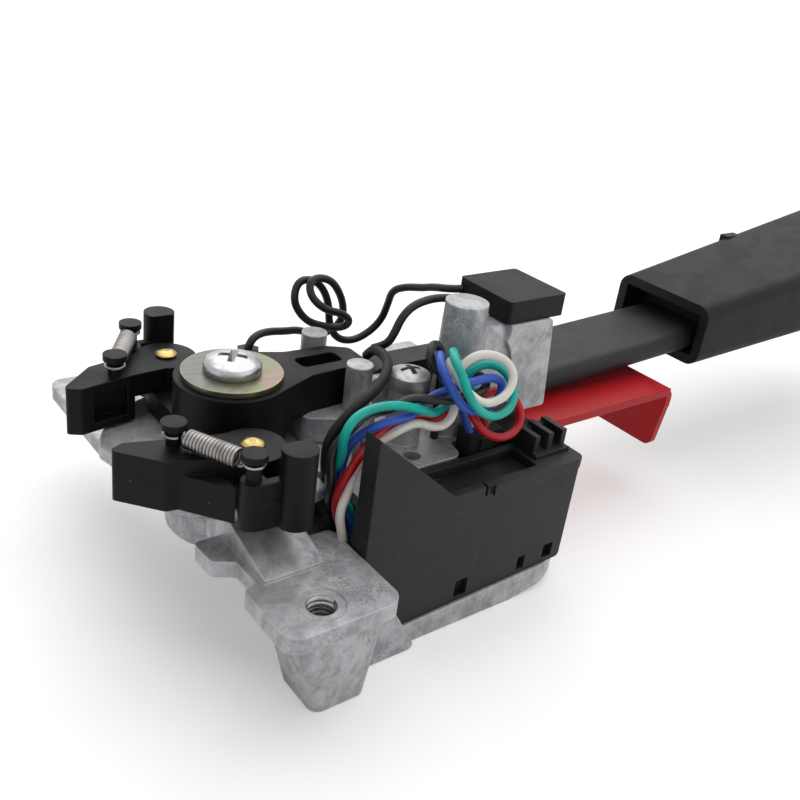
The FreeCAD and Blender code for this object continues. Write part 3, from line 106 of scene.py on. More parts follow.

# %% [markdown]
# The wires are the softest thing on the switch. Each is a strand of copper in a thin plastic
# skin, held at both ends and bent by hand into an arc, a hairpin and a loose loop. A curve with a
# round bevel is the natural tool, because a NURBS curve never shows a corner. Its control points
# follow the solid wires of the imported part, moved a little to lie as the photograph shows them.
# They are in millimetres, from the black block that paints shade at their foot to the plug.

# %% Routes of the five thin wires
WIRE_R = 0.8
ROUTES = {
    "wire_white": (
        (9.6, -26.6, 2), (8.2, -27.1, 6.7), (7, -27.5, 11.2), (6.1, -27.2, 15.6),
        (8.1, -26.7, 19.5), (10.3, -24.9, 23), (14.6, -23.7, 24.9), (18.3, -24.8, 27.1),
        (22.9, -24.2, 27.7), (26.2, -25.1, 26.2), (29, -25.4, 26.3), (30.9, -25, 28),
        (31.6, -23.8, 30.7), (32.3, -22.2, 34.5), (35.6, -22.9, 37.9), (39.4, -24.8, 37.9),
        (41.5, -26.7, 36.2), (41.4, -28.1, 33.6), (39.1, -28.7, 31.2), (35, -28.3, 30.4),
        (31.4, -27.8, 32.8), (29.7, -26.4, 35.1), (29.6, -24.2, 36.4), (30.8, -21.7, 36.7),
        (33.4, -19.7, 35.5), (35.2, -17.6, 32.1), (37, -17.9, 28.1), (40.4, -18.8, 24.8),
        (41, -19.9, 20.4),
    ),
    "wire_red": (
        (10.6, -24.4, 2), (10.2, -24.4, 6.2), (8.6, -25, 10.6), (6.8, -25, 15), (6.5, -26, 20.1),
        (8.8, -26.3, 23.7), (12.2, -24.9, 26), (16.3, -23.5, 27.7), (20.6, -22.2, 26.3),
        (24.6, -22.2, 26.7), (28.9, -21.9, 25.3), (33.3, -21.1, 26), (37.9, -22.4, 27.6),
        (42.5, -22.3, 29.2), (46.2, -24, 28.2), (47.2, -26.3, 25.3), (45.4, -27.7, 22.6),
        (41.5, -27.8, 21.6), (36.9, -27.2, 23.7), (35, -25.2, 27), (35.3, -22.9, 28.9),
        (36.8, -20.9, 29.4), (39.2, -20, 27.7), (42.4, -20.4, 24.5), (43.4, -21.4, 20.4),
    ),
    "wire_blue": (
        (12.2, -26, 2), (12.1, -25.6, 6.3), (10.8, -24.4, 10.5), (8.3, -23.8, 14.1),
        (8.2, -23.8, 18.4), (9.5, -22.1, 22.6), (10.4, -23.2, 26.7), (13.5, -24.6, 29),
        (18.2, -25, 29.7), (22.5, -23.3, 28.4), (26.7, -22.2, 30.7), (30.5, -24.8, 33.2),
        (35.6, -25.5, 34.1), (38.8, -25.6, 33.9), (40.8, -25.9, 32.7), (40.6, -26.3, 30.8),
        (38.8, -26.6, 29), (35.1, -27, 28.4), (30.6, -27.9, 30.1), (27.5, -27.5, 33.9),
        (26.7, -25.8, 36.4), (27.4, -23.2, 37.8), (29.6, -20.5, 38), (31.5, -18.2, 35.9),
        (32.6, -18.4, 31.8), (35.7, -19.6, 28.7), (37.9, -20.1, 24.5), (39.2, -21.6, 20.4),
    ),
    "wire_teal": (
        (12.6, -23.4, 2), (12.3, -23.2, 6.9), (11.9, -23.3, 11.9), (8.8, -22.3, 15.6),
        (7.1, -21.4, 18.8), (7.8, -24.2, 23.9), (6.1, -26, 29.5), (9, -24.9, 32.2),
        (13.9, -24.7, 32.9), (18.9, -24.7, 32), (23.8, -24.9, 30), (28, -23.3, 27.6),
        (32.1, -22.3, 28.6), (34.1, -22.2, 32.5), (37.5, -22.5, 35.4), (41.6, -23.4, 34.9),
        (43.8, -25.1, 32.4), (43.4, -27.2, 29.7), (40.7, -28.7, 28), (36.2, -29.3, 28.1),
        (31.9, -29.8, 30.7), (28.7, -30, 34.5), (28.3, -28.3, 37.3), (28.8, -25.3, 38.9),
        (31, -22, 38.9), (33.9, -19.3, 37), (36.8, -17.9, 34), (38.2, -18.3, 29.6),
        (42, -19, 27.5), (45.2, -19.4, 24.6), (45.2, -19.9, 20.4),
    ),
    "wire_black": (
        (13.2, -21, 2), (12.7, -20.9, 7), (11, -20.6, 12), (7.4, -22.2, 14.2), (6.2, -24, 17.9),
        (5.5, -24.7, 21.9), (6.3, -22.9, 25.6), (9.1, -24, 29.3), (13.3, -23.1, 31.5),
        (17.9, -22.7, 30.3), (22.4, -22.4, 31.7), (26.2, -24.8, 31.5), (30.9, -25.9, 31),
        (35.2, -26, 31.5), (38, -25, 32), (38.9, -23.1, 32.6), (38, -21.2, 32.9),
        (35.2, -20.2, 32.7), (31.5, -20.6, 33.1), (28.9, -20, 35.1), (28.6, -18.7, 37.2),
        (30.1, -17.3, 38.2), (32.8, -16, 37.4), (35.3, -14.9, 34.3), (35.8, -14.9, 28.7),
        (35.7, -15.3, 22.8), (35.8, -15.6, 17),
    ),
}
print("points", {name: len(points) for name, points in ROUTES.items()})

# %% [markdown]
# Three black leads are routed in the same way. One in a thicker sleeve arcs over the rotor's neck
# to the lever's hinge. A short one joins its end to the relay. A long one starts at the clip
# behind the pivot, makes loose rings in the air and ends at the relay.

# %% Routes of the three leads
SLEEVE_R = 0.95
ROUTES.update({
    "sleeve_lead": (
        (10.6, -19, 2), (10.1, -18.1, 8.6), (10, -17.8, 15.7), (7.2, -20.5, 20.5),
        (7.1, -20.6, 26.2), (11.7, -20.7, 31), (18.2, -18.5, 32.5), (22.4, -15.3, 33.3),
        (25.1, -11.8, 33.5), (26.7, -8.2, 33.1), (28, -4.8, 32.2), (28.9, -1.9, 30.8),
        (29.3, 0, 28.8),
    ),
    "relay_lead_short": (
        (28.8, -2.6, 31.6), (28.4, -5, 33), (28.8, -6.8, 34.5), (29.5, -7.3, 36.5),
        (30.7, -7.4, 39.6), (33.4, -7.2, 41.6), (37.6, -7.2, 42.3), (41.4, -7.3, 42),
        (44.9, -7.5, 41.3), (48.3, -7.5, 41),
    ),
    "relay_lead_long": (
        (12.5, 16.5, 26), (13, 16.6, 27.4), (15, 17.2, 28.4), (18, 17.6, 28.4),
        (21.6, 18.2, 27.6), (25.6, 19, 27), (29.4, 19.4, 25.2), (32.6, 18.8, 25.3),
        (34.9, 18, 27.1), (35.4, 17.2, 30.2), (33.8, 16.4, 34.2), (31, 15.8, 38),
        (28, 15.6, 39.4), (25.5, 15.3, 39.4), (24.4, 14.6, 38.1), (24.8, 13.6, 36),
        (27.2, 12.4, 33.8), (31.1, 12.1, 32.6), (33.4, 12.4, 30.9), (33.8, 13.2, 29.3),
        (32.6, 14.3, 28.3), (29.8, 15.3, 28.5), (25.7, 16.1, 29.9), (22.9, 16.7, 33.3),
        (22.7, 17.2, 36.3), (24, 17.6, 38.4), (26.5, 17.6, 38.5), (29.3, 17.5, 36.9),
        (31.3, 17.1, 32.9), (31.6, 16.8, 28.1), (33.7, 16.4, 24.7), (37.6, 16, 23.8),
        (41.1, 15.2, 25.6), (43.4, 14.3, 28.6), (43.8, 13.4, 32.4), (43.4, 12, 36.1),
        (44.2, 8.6, 38), (45.3, 5, 39), (45.5, 1.6, 40.4), (46, -2.4, 41.4), (48.3, -3.6, 41.6),
    ),
})
print("points", {name: len(points) for name, points in ROUTES.items()})

# %% [markdown]
# A material is a small recipe of nodes. Writing its arithmetic as plain Python keeps it readable,
# so one class wraps a socket and lets it be added, taken away and multiplied.

# %% Arithmetic on sockets
class Value:
    """One socket of a finish, with the arithmetic used in this lesson."""

    def __init__(self, finish, socket):
        self.finish = finish
        self.socket = socket

    def maths(self, operation, first, second):
        return self.finish.node("ShaderNodeMath", {"operation": operation}, {0: first, 1: second})

    def __add__(self, other):
        return self.maths("ADD", self, other)

    def __radd__(self, other):
        return self.maths("ADD", other, self)

    def __sub__(self, other):
        return self.maths("SUBTRACT", self, other)

    def __rsub__(self, other):
        return self.maths("SUBTRACT", other, self)

    def __mul__(self, other):
        return self.maths("MULTIPLY", self, other)

    def __rmul__(self, other):
        return self.maths("MULTIPLY", other, self)


print("sockets can be added, taken away and multiplied")

# %% [markdown]
# A second class holds the material being made. One method makes any node from its kind, its
# settings and its sockets. The others are short names for patterns that come up again and again,
# with their sizes in millimetres on the object.

# %% A finish being made
BEVEL_SAMPLES = 4
LEAN_FLAT, LEAN_CORNER = 0.98, 0.8


class Finish:
    """A material being made: its nodes, its shader and the place of each point on the object."""

    def __init__(self, name, colour, roughness, metallic=0.0, **constants):
        self.material = bpy.data.materials.new(name)
        self.material.use_nodes = True
        self.material.diffuse_color = (*colour, 1)
        self.tree = self.material.node_tree
        self.tree.nodes.clear()
        out = self.tree.nodes.new("ShaderNodeOutputMaterial")
        self.shader = self.tree.nodes.new("ShaderNodeBsdfPrincipled")
        self.tree.links.new(self.shader.outputs[0], out.inputs[0])
        self.set("Base Color", (*colour, 1))
        self.set("Roughness", roughness)
        self.set("Metallic", metallic)
        for socket, value in constants.items():
            self.set(socket.replace("_", " "), value)
        self.place = self.node("ShaderNodeTexCoord", out="Object")

    def feed(self, socket, value):
        if isinstance(value, Value):
            self.tree.links.new(value.socket, socket)
        else:
            socket.default_value = value

    def set(self, socket, value):
        self.feed(self.shader.inputs[socket], value)

    def node(self, kind, settings=None, sockets=None, out=0):
        made = self.tree.nodes.new(kind)
        for name, value in (settings or {}).items():
            if name == "stops":
                ramp = made.color_ramp
                while len(ramp.elements) < len(value):
                    ramp.elements.new(0.5)
                for stop, (at, colour) in zip(ramp.elements, value):
                    stop.position = at
                    stop.color = (*colour, 1)
            else:
                setattr(made, name, value)
        for name, value in (sockets or {}).items():
            self.feed(made.inputs[name], value)
        return Value(self, made.outputs[out])

    def stretched(self, scale, turn):
        """The place on the object, turned and scaled, so that a pattern on it runs one way."""
        sockets = {"Vector": self.place, "Rotation": turn, "Scale": scale}
        return self.node("ShaderNodeMapping", None, sockets)

    def noise(self, size, detail, rough=0.55, warp=0.0, along=None):
        sockets = {
            "Vector": along or self.place, "Scale": 1 / (size * MM), "Detail": detail,
            "Roughness": rough, "Distortion": warp,
        }
        return self.node("ShaderNodeTexNoise", None, sockets)

    def cells(self, size):
        sockets = {"Vector": self.place, "Scale": 1 / (size * MM)}
        return self.node("ShaderNodeTexVoronoi", None, sockets)

    def step(self, value, low, high):
        """A mask that goes softly from 0 to 1 as the value goes from low to high."""
        sockets = {"Value": value, "From Min": low, "From Max": high}
        settings = {"interpolation_type": "SMOOTHSTEP"}
        return self.node("ShaderNodeMapRange", settings, sockets)

    def mix(self, amount, first, second):
        first = first if isinstance(first, Value) else (*first, 1)
        second = second if isinstance(second, Value) else (*second, 1)
        sockets = {"Factor": amount, 6: first, 7: second}
        return self.node("ShaderNodeMix", {"data_type": "RGBA"}, sockets, out=2)

    def dot(self, first, second):
        """How far two directions agree, or how far a place lies along a direction."""
        settings = {"operation": "DOT_PRODUCT"}
        return self.node("ShaderNodeVectorMath", settings, {0: first, 1: second}, out="Value")

    def soften(self, radius):
        """The rounded look of an edge that a mould or a file leaves."""
        return self.node("ShaderNodeBevel", {"samples": BEVEL_SAMPLES}, {"Radius": radius * MM})

    def edges(self, radius):
        """A mask that is 1 on a corner that sticks out, from how far the softened normal leans."""
        true = self.node("ShaderNodeNewGeometry", out="True Normal")
        return self.step(self.dot(true, self.soften(radius)), LEAN_FLAT, LEAN_CORNER)

    def relief(self, height, depth, strength, under=None):
        sockets = {"Height": height, "Distance": depth * MM, "Strength": strength}
        if under is not None:
            sockets["Normal"] = under
        return self.node("ShaderNodeBump", None, sockets)


print("a finish can have noise, cells, steps, mixes, rubbed edges and relief")

# %% [markdown]
# Most of the metal is a zinc die casting. Real ones come out of the mould grey and blotchy: cold
# flow marks, soot from the mould spray, tiny pits and a fine skin, with edges rubbed bright.
# Three noises of different size give the blotches and the grain, and small cells give the pits,
# which a fourth noise gathers in patches. The metal has lost its mirror shine to a skin of oxide,
# so it counts as only a third metallic.

# %% Cast metal
FLOW_DARK, FLOW_PALE = (0.32, 0.326, 0.34), (0.52, 0.528, 0.545)
SOOT = (0.16, 0.162, 0.17)
PIT = (0.06, 0.06, 0.062)
PEPPER = (0.2, 0.2, 0.21)
RUBBED_ZINC = (0.74, 0.74, 0.74)


def cast_metal():
    finish = Finish("cast_metal", (0.5, 0.51, 0.52), 0.48, 0.3, Specular_IOR_Level=0.3)
    broad = finish.noise(11, detail=3, rough=0.6, warp=0.6)
    level = finish.stretched((1, 1, 0.7), (0, 0, 0))
    flow = finish.noise(3.2, detail=5, rough=0.68, warp=0.35, along=level)
    grain = finish.noise(0.55, detail=3, rough=0.7)
    soot = finish.step(broad, 0.52, 0.7)
    pits = finish.step(finish.cells(1.9), 0.1, 0.045)
    spots = pits * finish.step(finish.noise(5, detail=2), 0.5, 0.62)
    blotch = finish.step(flow, 0.34, 0.66)
    colour = finish.mix(blotch, FLOW_DARK, FLOW_PALE)
    colour = finish.mix(soot * finish.step(grain, 0.42, 0.6) * 0.55, colour, SOOT)
    colour = finish.mix(spots * 0.8, colour, PIT)
    pepper = finish.step(grain, 0.55, 0.68) * finish.step(broad, 0.36, 0.56)
    colour = finish.mix(pepper * 0.45, colour, PEPPER)
    rubbed = finish.edges(0.5) * 0.6
    finish.set("Base Color", finish.mix(rubbed, colour, RUBBED_ZINC))
    finish.set("Roughness", 0.5 - 0.14 * blotch + 0.16 * soot - 0.1 * rubbed)
    skin = grain * 0.6 + flow * 1.2 - spots * 3
    finish.set("Normal", finish.relief(skin, 0.12, 0.55, finish.soften(0.45)))
    return finish.material


FINISHES = {"cast_metal": cast_metal()}
print("finishes", list(FINISHES))

# %% [markdown]
# The screws, pins and springs are drawn or turned metal, smooth but for faint rings, thin
# scratches and a slightly duller patch here and there. One recipe does for all four: bright
# plated steel, the duller plate of the bracket's screw, dark spring wire and the brass of the
# rivets.

# %% Steel, spring wire and brass
TURNED = {
    # finish: colour, worn colour, roughness, size of the rings
    "bright_steel": ((0.4, 0.4, 0.41), (0.28, 0.28, 0.28), 0.24, 0.35),
    "dull_steel": ((0.34, 0.34, 0.35), (0.24, 0.24, 0.24), 0.4, 0.35),
    "spring_steel": ((0.3, 0.285, 0.28), (0.15, 0.13, 0.11), 0.3, 0.2),
    "bearing_brass": ((0.42, 0.33, 0.12), (0.26, 0.19, 0.07), 0.24, 0.3),
}


def turned_metal(name, colour, worn, roughness, ring):
    finish = Finish(name, colour, roughness, 1.0)
    broad = finish.noise(3.5, detail=3, rough=0.6, warp=0.5)
    lathe_lines = finish.stretched((1, 0.12, 1), (0, 0, 0.7))
    hair = finish.noise(ring, detail=2, rough=0.5, along=lathe_lines)
    dull = finish.step(broad, 0.46, 0.66)
    finish.set("Base Color", finish.mix(dull * 0.45, colour, worn))
    finish.set("Roughness", roughness + 0.14 * dull + 0.08 * finish.step(hair, 0.4, 0.7))
    finish.set("Normal", finish.relief(hair + broad * 0.5, 0.008, 0.25, finish.soften(0.22)))
    return finish.material


for name, numbers in TURNED.items():
    FINISHES[name] = turned_metal(name, *numbers)
print("finishes", list(FINISHES))

# %% [markdown]
# The large washer is zinc plated and passivated: a silver plate under a very thin film that shows
# gold, green and rose in soft bands. A noise stretched across the washer runs through a colour
# ramp, and a slope from one side to the other shifts the bands, as the film is thicker on one
# side.

# %% Yellow zinc
FILM = [
    (0.34, (0.12, 0.123, 0.116)), (0.46, (0.14, 0.14, 0.12)), (0.54, (0.19, 0.17, 0.1)),
    (0.6, (0.135, 0.18, 0.11)), (0.65, (0.22, 0.15, 0.12)), (0.74, (0.18, 0.18, 0.16)),
]
FILM_SLOPE = (17.4, -13.4, 0)
BRUSHED = (0.17, 0.16, 0.135)
RUBBED_GOLD = (0.42, 0.37, 0.18)


def yellow_zinc():
    finish = Finish("yellow_zinc", (0.14, 0.14, 0.12), 0.36, 1.0)
    drawn_out = finish.stretched((1, 1.6, 1), (0, 0, 0.5))
    film = finish.noise(6, detail=2, rough=0.5, warp=1.2, along=drawn_out)
    thickness = film * 0.5 + finish.dot(finish.place, FILM_SLOPE) + 0.22
    tint = finish.node("ShaderNodeValToRGB", {"stops": FILM}, {"Fac": thickness})
    brush_lines = finish.stretched((0.1, 1, 1), (0, 0, 0.4))
    hair = finish.noise(0.4, detail=2, rough=0.5, along=brush_lines)
    colour = finish.mix(finish.step(hair, 0.6, 0.8) * 0.3, tint, BRUSHED)
    finish.set("Base Color", finish.mix(finish.edges(0.4) * 0.8, colour, RUBBED_GOLD))
    finish.set("Roughness", 0.36 + 0.12 * finish.step(hair, 0.45, 0.7))
    finish.set("Normal", finish.relief(hair, 0.012, 0.35, finish.soften(0.2)))
    return finish.material


FINISHES["yellow_zinc"] = yellow_zinc()
print("finishes", list(FINISHES))

# %% [markdown]
# The black mouldings are glass-filled nylon: a charcoal black with a low sheen, a fine
# spark-eroded grain, a few pale specks of dust, and thin scratches where parts have been handled.
# Corners are rubbed a shade greyer. The same recipe with other numbers makes the deeper black of
# the rotor, the softer black of the handle, the red of the side lever and the rubber of the sleeve
# and of the black block that paints shade where the wires come up.

# %% Moulded plastic and rubber
DUST = (0.3, 0.3, 0.29)
MOULDED = {
    "black_plastic": {
        "colour": (0.017, 0.017, 0.018), "roughness": 0.48, "gloss": 0.23, "grain": 0.28,
        "depth": 0.03, "dust": 0.5, "corner": 0.35, "blotch": 1.0,
    },
    "rotor_plastic": {
        "colour": (0.006, 0.006, 0.0065), "roughness": 0.44, "gloss": 0.13, "grain": 0.3,
        "depth": 0.03, "dust": 0.4, "corner": 0.25, "blotch": 1.0,
    },
    "grip_plastic": {
        "colour": (0.009, 0.009, 0.0105), "roughness": 0.5, "gloss": 0.17, "grain": 0.45,
        "depth": 0.05, "dust": 0.15, "corner": 0.1, "blotch": 1.0,
    },
    "red_plastic": {
        "colour": (0.47, 0.008, 0.014), "roughness": 0.36, "gloss": 0.2, "grain": 0.5,
        "depth": 0.02, "dust": 0.1, "corner": 0.0, "blotch": 0.35,
    },
    "black_rubber": {
        "colour": (0.01, 0.01, 0.011), "roughness": 0.55, "gloss": 0.2, "grain": 0.35,
        "depth": 0.03, "dust": 0.3, "corner": 0.1, "blotch": 1.0,
    },
}


def moulded(name, colour, roughness, gloss, grain, depth, dust, corner, blotch):
    finish = Finish(name, colour, roughness, Specular_IOR_Level=gloss)
    skin = finish.noise(grain, detail=3, rough=0.6)
    broad = finish.noise(9, detail=3, rough=0.6, warp=0.4)
    dusty = finish.step(finish.noise(6, detail=2), 0.52, 0.6)
    speck = finish.step(finish.cells(3.4), 0.075, 0.03) * dusty
    wipe = finish.stretched((1, 0.04, 0.4), (0.3, 0.2, 0.9))
    scratch = finish.noise(1.6, detail=2, rough=0.6, warp=0.2, along=wipe)
    line = finish.step(scratch, 0.66, 0.7) * finish.step(broad, 0.5, 0.62)
    pale = tuple(min(1.0, c * 2.2 + 0.05) for c in colour)
    dark = tuple(c * (1 - 0.3 * blotch) for c in colour)
    light = tuple(c * (1 + 0.2 * blotch) for c in colour)
    base = finish.mix(finish.step(broad, 0.35, 0.65), dark, light)
    base = finish.mix(finish.edges(0.35) * corner, base, pale)
    base = finish.mix(line * 0.25 * dust, base, pale)
    finish.set("Base Color", finish.mix(speck * dust, base, DUST))
    dull = roughness + 0.1 * finish.step(broad, 0.4, 0.66)
    finish.set("Roughness", dull + 0.12 * speck - 0.06 * line)
    height = skin - line * 0.6 + speck * 0.8
    finish.set("Normal", finish.relief(height, depth, 0.45, finish.soften(0.35)))
    return finish.material


for name, numbers in MOULDED.items():
    FINISHES[name] = moulded(name, **numbers)
print("finishes", list(FINISHES))

# %% [markdown]
# Wire insulation is soft plastic drawn through a die, so it is smooth and a little waxy, with
# faint ripples, a slight change of tone along it, and dirt from fingers. A thin clear coat gives
# the narrow bright line that runs along every wire in the light.

# %% Wire insulation
SKINS = {
    "white_wire": {"colour": (0.93, 0.89, 0.8), "roughness": 0.34, "grime": 0.12, "coat": 0.06},
    "red_wire": {"colour": (0.5, 0.006, 0.012), "roughness": 0.34, "grime": 0.25, "coat": 0.06},
    "blue_wire": {"colour": (0.035, 0.11, 0.56), "roughness": 0.34, "grime": 0.25, "coat": 0.06},
    "teal_wire": {"colour": (0.0, 0.48, 0.39), "roughness": 0.34, "grime": 0.25, "coat": 0.06},
    "black_wire": {"colour": (0.009, 0.009, 0.01), "roughness": 0.42, "grime": 0.1, "coat": 0.1},
}


def insulation(name, colour, roughness, grime, coat):
    finish = Finish(
        name, colour, roughness, Coat_Weight=coat, Coat_Roughness=0.25, Specular_IOR_Level=0.3)
    tone = finish.noise(4.5, detail=2, rough=0.5)
    dirt = finish.noise(1.2, detail=4, rough=0.65, warp=0.6)
    smudge = finish.step(dirt, 0.56, 0.74) * grime
    shaded = tuple(c * 0.88 for c in colour)
    dirty = tuple(c * 0.45 + 0.01 for c in colour)
    base = finish.mix(finish.step(tone, 0.3, 0.7), shaded, colour)
    finish.set("Base Color", finish.mix(smudge, base, dirty))
    finish.set("Roughness", roughness + 0.2 * smudge + 0.06 * finish.step(tone, 0.4, 0.6))
    finish.set("Normal", finish.relief(finish.noise(0.5, detail=2) + tone, 0.03, 0.4))
    return finish.material


for name, numbers in SKINS.items():
    FINISHES[name] = insulation(name, **numbers)
print("finishes", list(FINISHES))

# %% [markdown]
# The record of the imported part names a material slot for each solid. A solid keeps its shape and
# only gets its finish, so this cell is one loop. The handle, its knob and the relay have a
# coarser grain of the same black, the rotor and pawls are a deeper black, and the sleeve of the
# thick lead is rubber.

# %% Finishes on the solid parts
COARSE_BLACK = ("grip", "light_knob", "relay")
DEEP_BLACK = ("rotor", "pawl_far", "pawl_near")
slot_of = {part["node"]: part["material_slot"] for part in frame["record"]["subparts"]}
slot_of["sleeve_lead"] = "black_rubber"

for name, piece in frame["nodes"].items():
    chosen = slot_of[name]
    if name in COARSE_BLACK:
        chosen = "grip_plastic"
    elif name in DEEP_BLACK:
        chosen = "rotor_plastic"
    piece.data.materials.clear()
    piece.data.materials.append(FINISHES[chosen])
print("solid parts", len(frame["nodes"]))

# %% [markdown]
# Each wire becomes a curve through its points. The bevel depth is half the wire's thickness, and
# the ends are closed. Each wire rides on the base, and its solid wire in the imported part is
# hidden. A table gives the real length of each cord, and a loop works out each one's thickness.

# %% Wires
ROUND_BEVEL = 6
STEPS_PER_POINT = 10
CORD_LENGTH = {
    "wire_white": 107.5, "wire_red": 100.0, "wire_blue": 107.8, "wire_teal": 130.6,
    "wire_black": 104.3, "sleeve_lead": 61.6, "relay_lead_long": 133.3,
}


def radius_of(name):
    return SLEEVE_R if name == "sleeve_lead" else WIRE_R


def lay_wire(name):
    curve = bpy.data.curves.new("strand_" + name, "CURVE")
    curve.dimensions = "3D"
    curve.bevel_depth = radius_of(name) * MM
    curve.bevel_resolution = ROUND_BEVEL
    curve.use_fill_caps = True
    spline = curve.splines.new("NURBS")
    spline.points.add(len(ROUTES[name]) - 1)
    for point, place in zip(spline.points, ROUTES[name]):
        point.co = (*(Vector(place) * MM), 1)
    spline.order_u = 3
    spline.use_endpoint_u = True
    spline.resolution_u = STEPS_PER_POINT
    curve.materials.append(FINISHES[slot_of[name]])
    wire = bpy.data.objects.new("strand_" + name, curve)
    bpy.context.scene.collection.objects.link(wire)
    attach(wire, "base")
    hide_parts(name)
    return wire


wires = {name: lay_wire(name) for name in ROUTES}
for name, length in CORD_LENGTH.items():
    thick = 2 * radius_of(name) * MM
print("wires", sorted(wires))

# %% [markdown]
# What repeats or follows a path is grown by Geometry Nodes: the coils of a spring, the thread in
# a hole. A tree is built here with named sizes, so the same tree makes a long spring or a short
# one. The helper wraps a tree in the way that the shader helper wraps a material.

# %% Geometry recipe helper
class Recipe:
    """A Geometry Nodes tree being made, with its sizes as named inputs."""

    def __init__(self, name, sizes):
        self.tree = bpy.data.node_groups.new(name, "GeometryNodeTree")
        face = self.tree.interface
        face.new_socket("Geometry", in_out="OUTPUT", socket_type="NodeSocketGeometry")
        for label, value in sizes.items():
            kind = "NodeSocketInt" if isinstance(value, int) else "NodeSocketFloat"
            face.new_socket(label, in_out="INPUT", socket_type=kind).default_value = value
        face.new_socket("Finish", in_out="INPUT", socket_type="NodeSocketMaterial")
        self.inside = self.tree.nodes.new("NodeGroupInput")
        self.end = self.tree.nodes.new("NodeGroupOutput")

    def size(self, label):
        return self.inside.outputs[label]

    def node(self, kind, settings=None, sockets=None):
        made = self.tree.nodes.new(kind)
        for name, value in (settings or {}).items():
            setattr(made, name, value)
        for name, value in (sockets or {}).items():
            for one in value if isinstance(value, list) else [value]:
                if isinstance(one, bpy.types.NodeSocket):
                    self.tree.links.new(one, made.inputs[name])
                else:
                    made.inputs[name].default_value = one
        return made.outputs[0]

    def maths(self, operation, first, second):
        return self.node("ShaderNodeMath", {"operation": operation}, {0: first, 1: second})

    def point(self, x=0.0, y=0.0, z=0.0):
        return self.node("ShaderNodeCombineXYZ", None, {"X": x, "Y": y, "Z": z})

    def sweep(self, path, sides, radius):
        """A tube along a path, which ends the recipe with real geometry and its finish."""
        section = {"Resolution": sides, "Radius": radius}
        round_section = self.node("GeometryNodeCurvePrimitiveCircle", None, section)
        sockets = {"Curve": path, "Profile Curve": round_section, "Fill Caps": True}
        swept = self.node("GeometryNodeCurveToMesh", None, sockets)
        real = self.node("GeometryNodeRealizeInstances", None, {0: swept})
        sockets = {"Geometry": real, "Material": self.inside.outputs["Finish"]}
        done = self.node("GeometryNodeSetMaterial", None, sockets)
        self.tree.links.new(done, self.end.inputs[0])
        return self


print("a recipe takes named sizes and ends in real geometry with a finish")

# %% [markdown]
# A modifier only promises a shape. So each piece is made real: the evaluated mesh is copied into
# a plain object of the same name, and the object with the modifier is removed.

# %% From a modifier to a plain mesh
def add_object(name, mesh):
    piece = bpy.data.objects.new(name, mesh)
    bpy.context.scene.collection.objects.link(piece)
    return piece


def freeze(holder):
    """Turns an object with modifiers into a plain mesh of the same name."""
    graph = bpy.context.evaluated_depsgraph_get()
    graph.update()
    mesh = bpy.data.meshes.new_from_object(holder.evaluated_get(graph))
    name = holder.name
    bpy.data.objects.remove(holder)
    mesh.name = name
    for face in mesh.polygons:
        face.use_smooth = True
    print(name, len(mesh.vertices), "points", len(mesh.polygons), "faces")
    return add_object(name, mesh)


def grow(name, recipe, sizes, finish):
    """Runs a recipe once and returns its result as a plain mesh object."""
    holder = add_object(name, bpy.data.meshes.new(name))
    modifier = holder.modifiers.new("recipe", "NODES")
    modifier.node_group = recipe.tree
    for item in recipe.tree.interface.items_tree:
        if item.in_out == "INPUT" and item.name in sizes:
            modifier[item.identifier] = sizes[item.name]
        if item.in_out == "INPUT" and item.name == "Finish":
            modifier[item.identifier] = finish
    return freeze(holder)


print("modifiers can be made real")

# %% [markdown]
# Each pawl is pulled in by a close-wound tension spring. The real one is about fifteen turns of
# thin drawn wire, with a loop bent out at each end that hangs on a post. A spiral curve gives the
# coil, two arcs give the loops and two short curved stems join them, all swept with one round
# section.

# %% Spring recipe
PAWL_POST = Vector((-16.3, 13.2, 28.6))
WING_POST = Vector((-8.7, 26.2, 28.6))
SPRING_SIZES = {
    "Wire radius": 0.3 * MM, "Coil radius": 1.4 * MM, "Turns": 15,
    "Span": (WING_POST - PAWL_POST).length * MM, "Hook radius": 1.6 * MM, "Stem": 1.2 * MM,
}
COIL_STEPS = 20
HOOK_STEPS = 28
STEM_STEPS = 8
WIRE_SIDES = 8
HOOK_SWEEP = math.radians(330)
KNEE_SHARE = 0.2


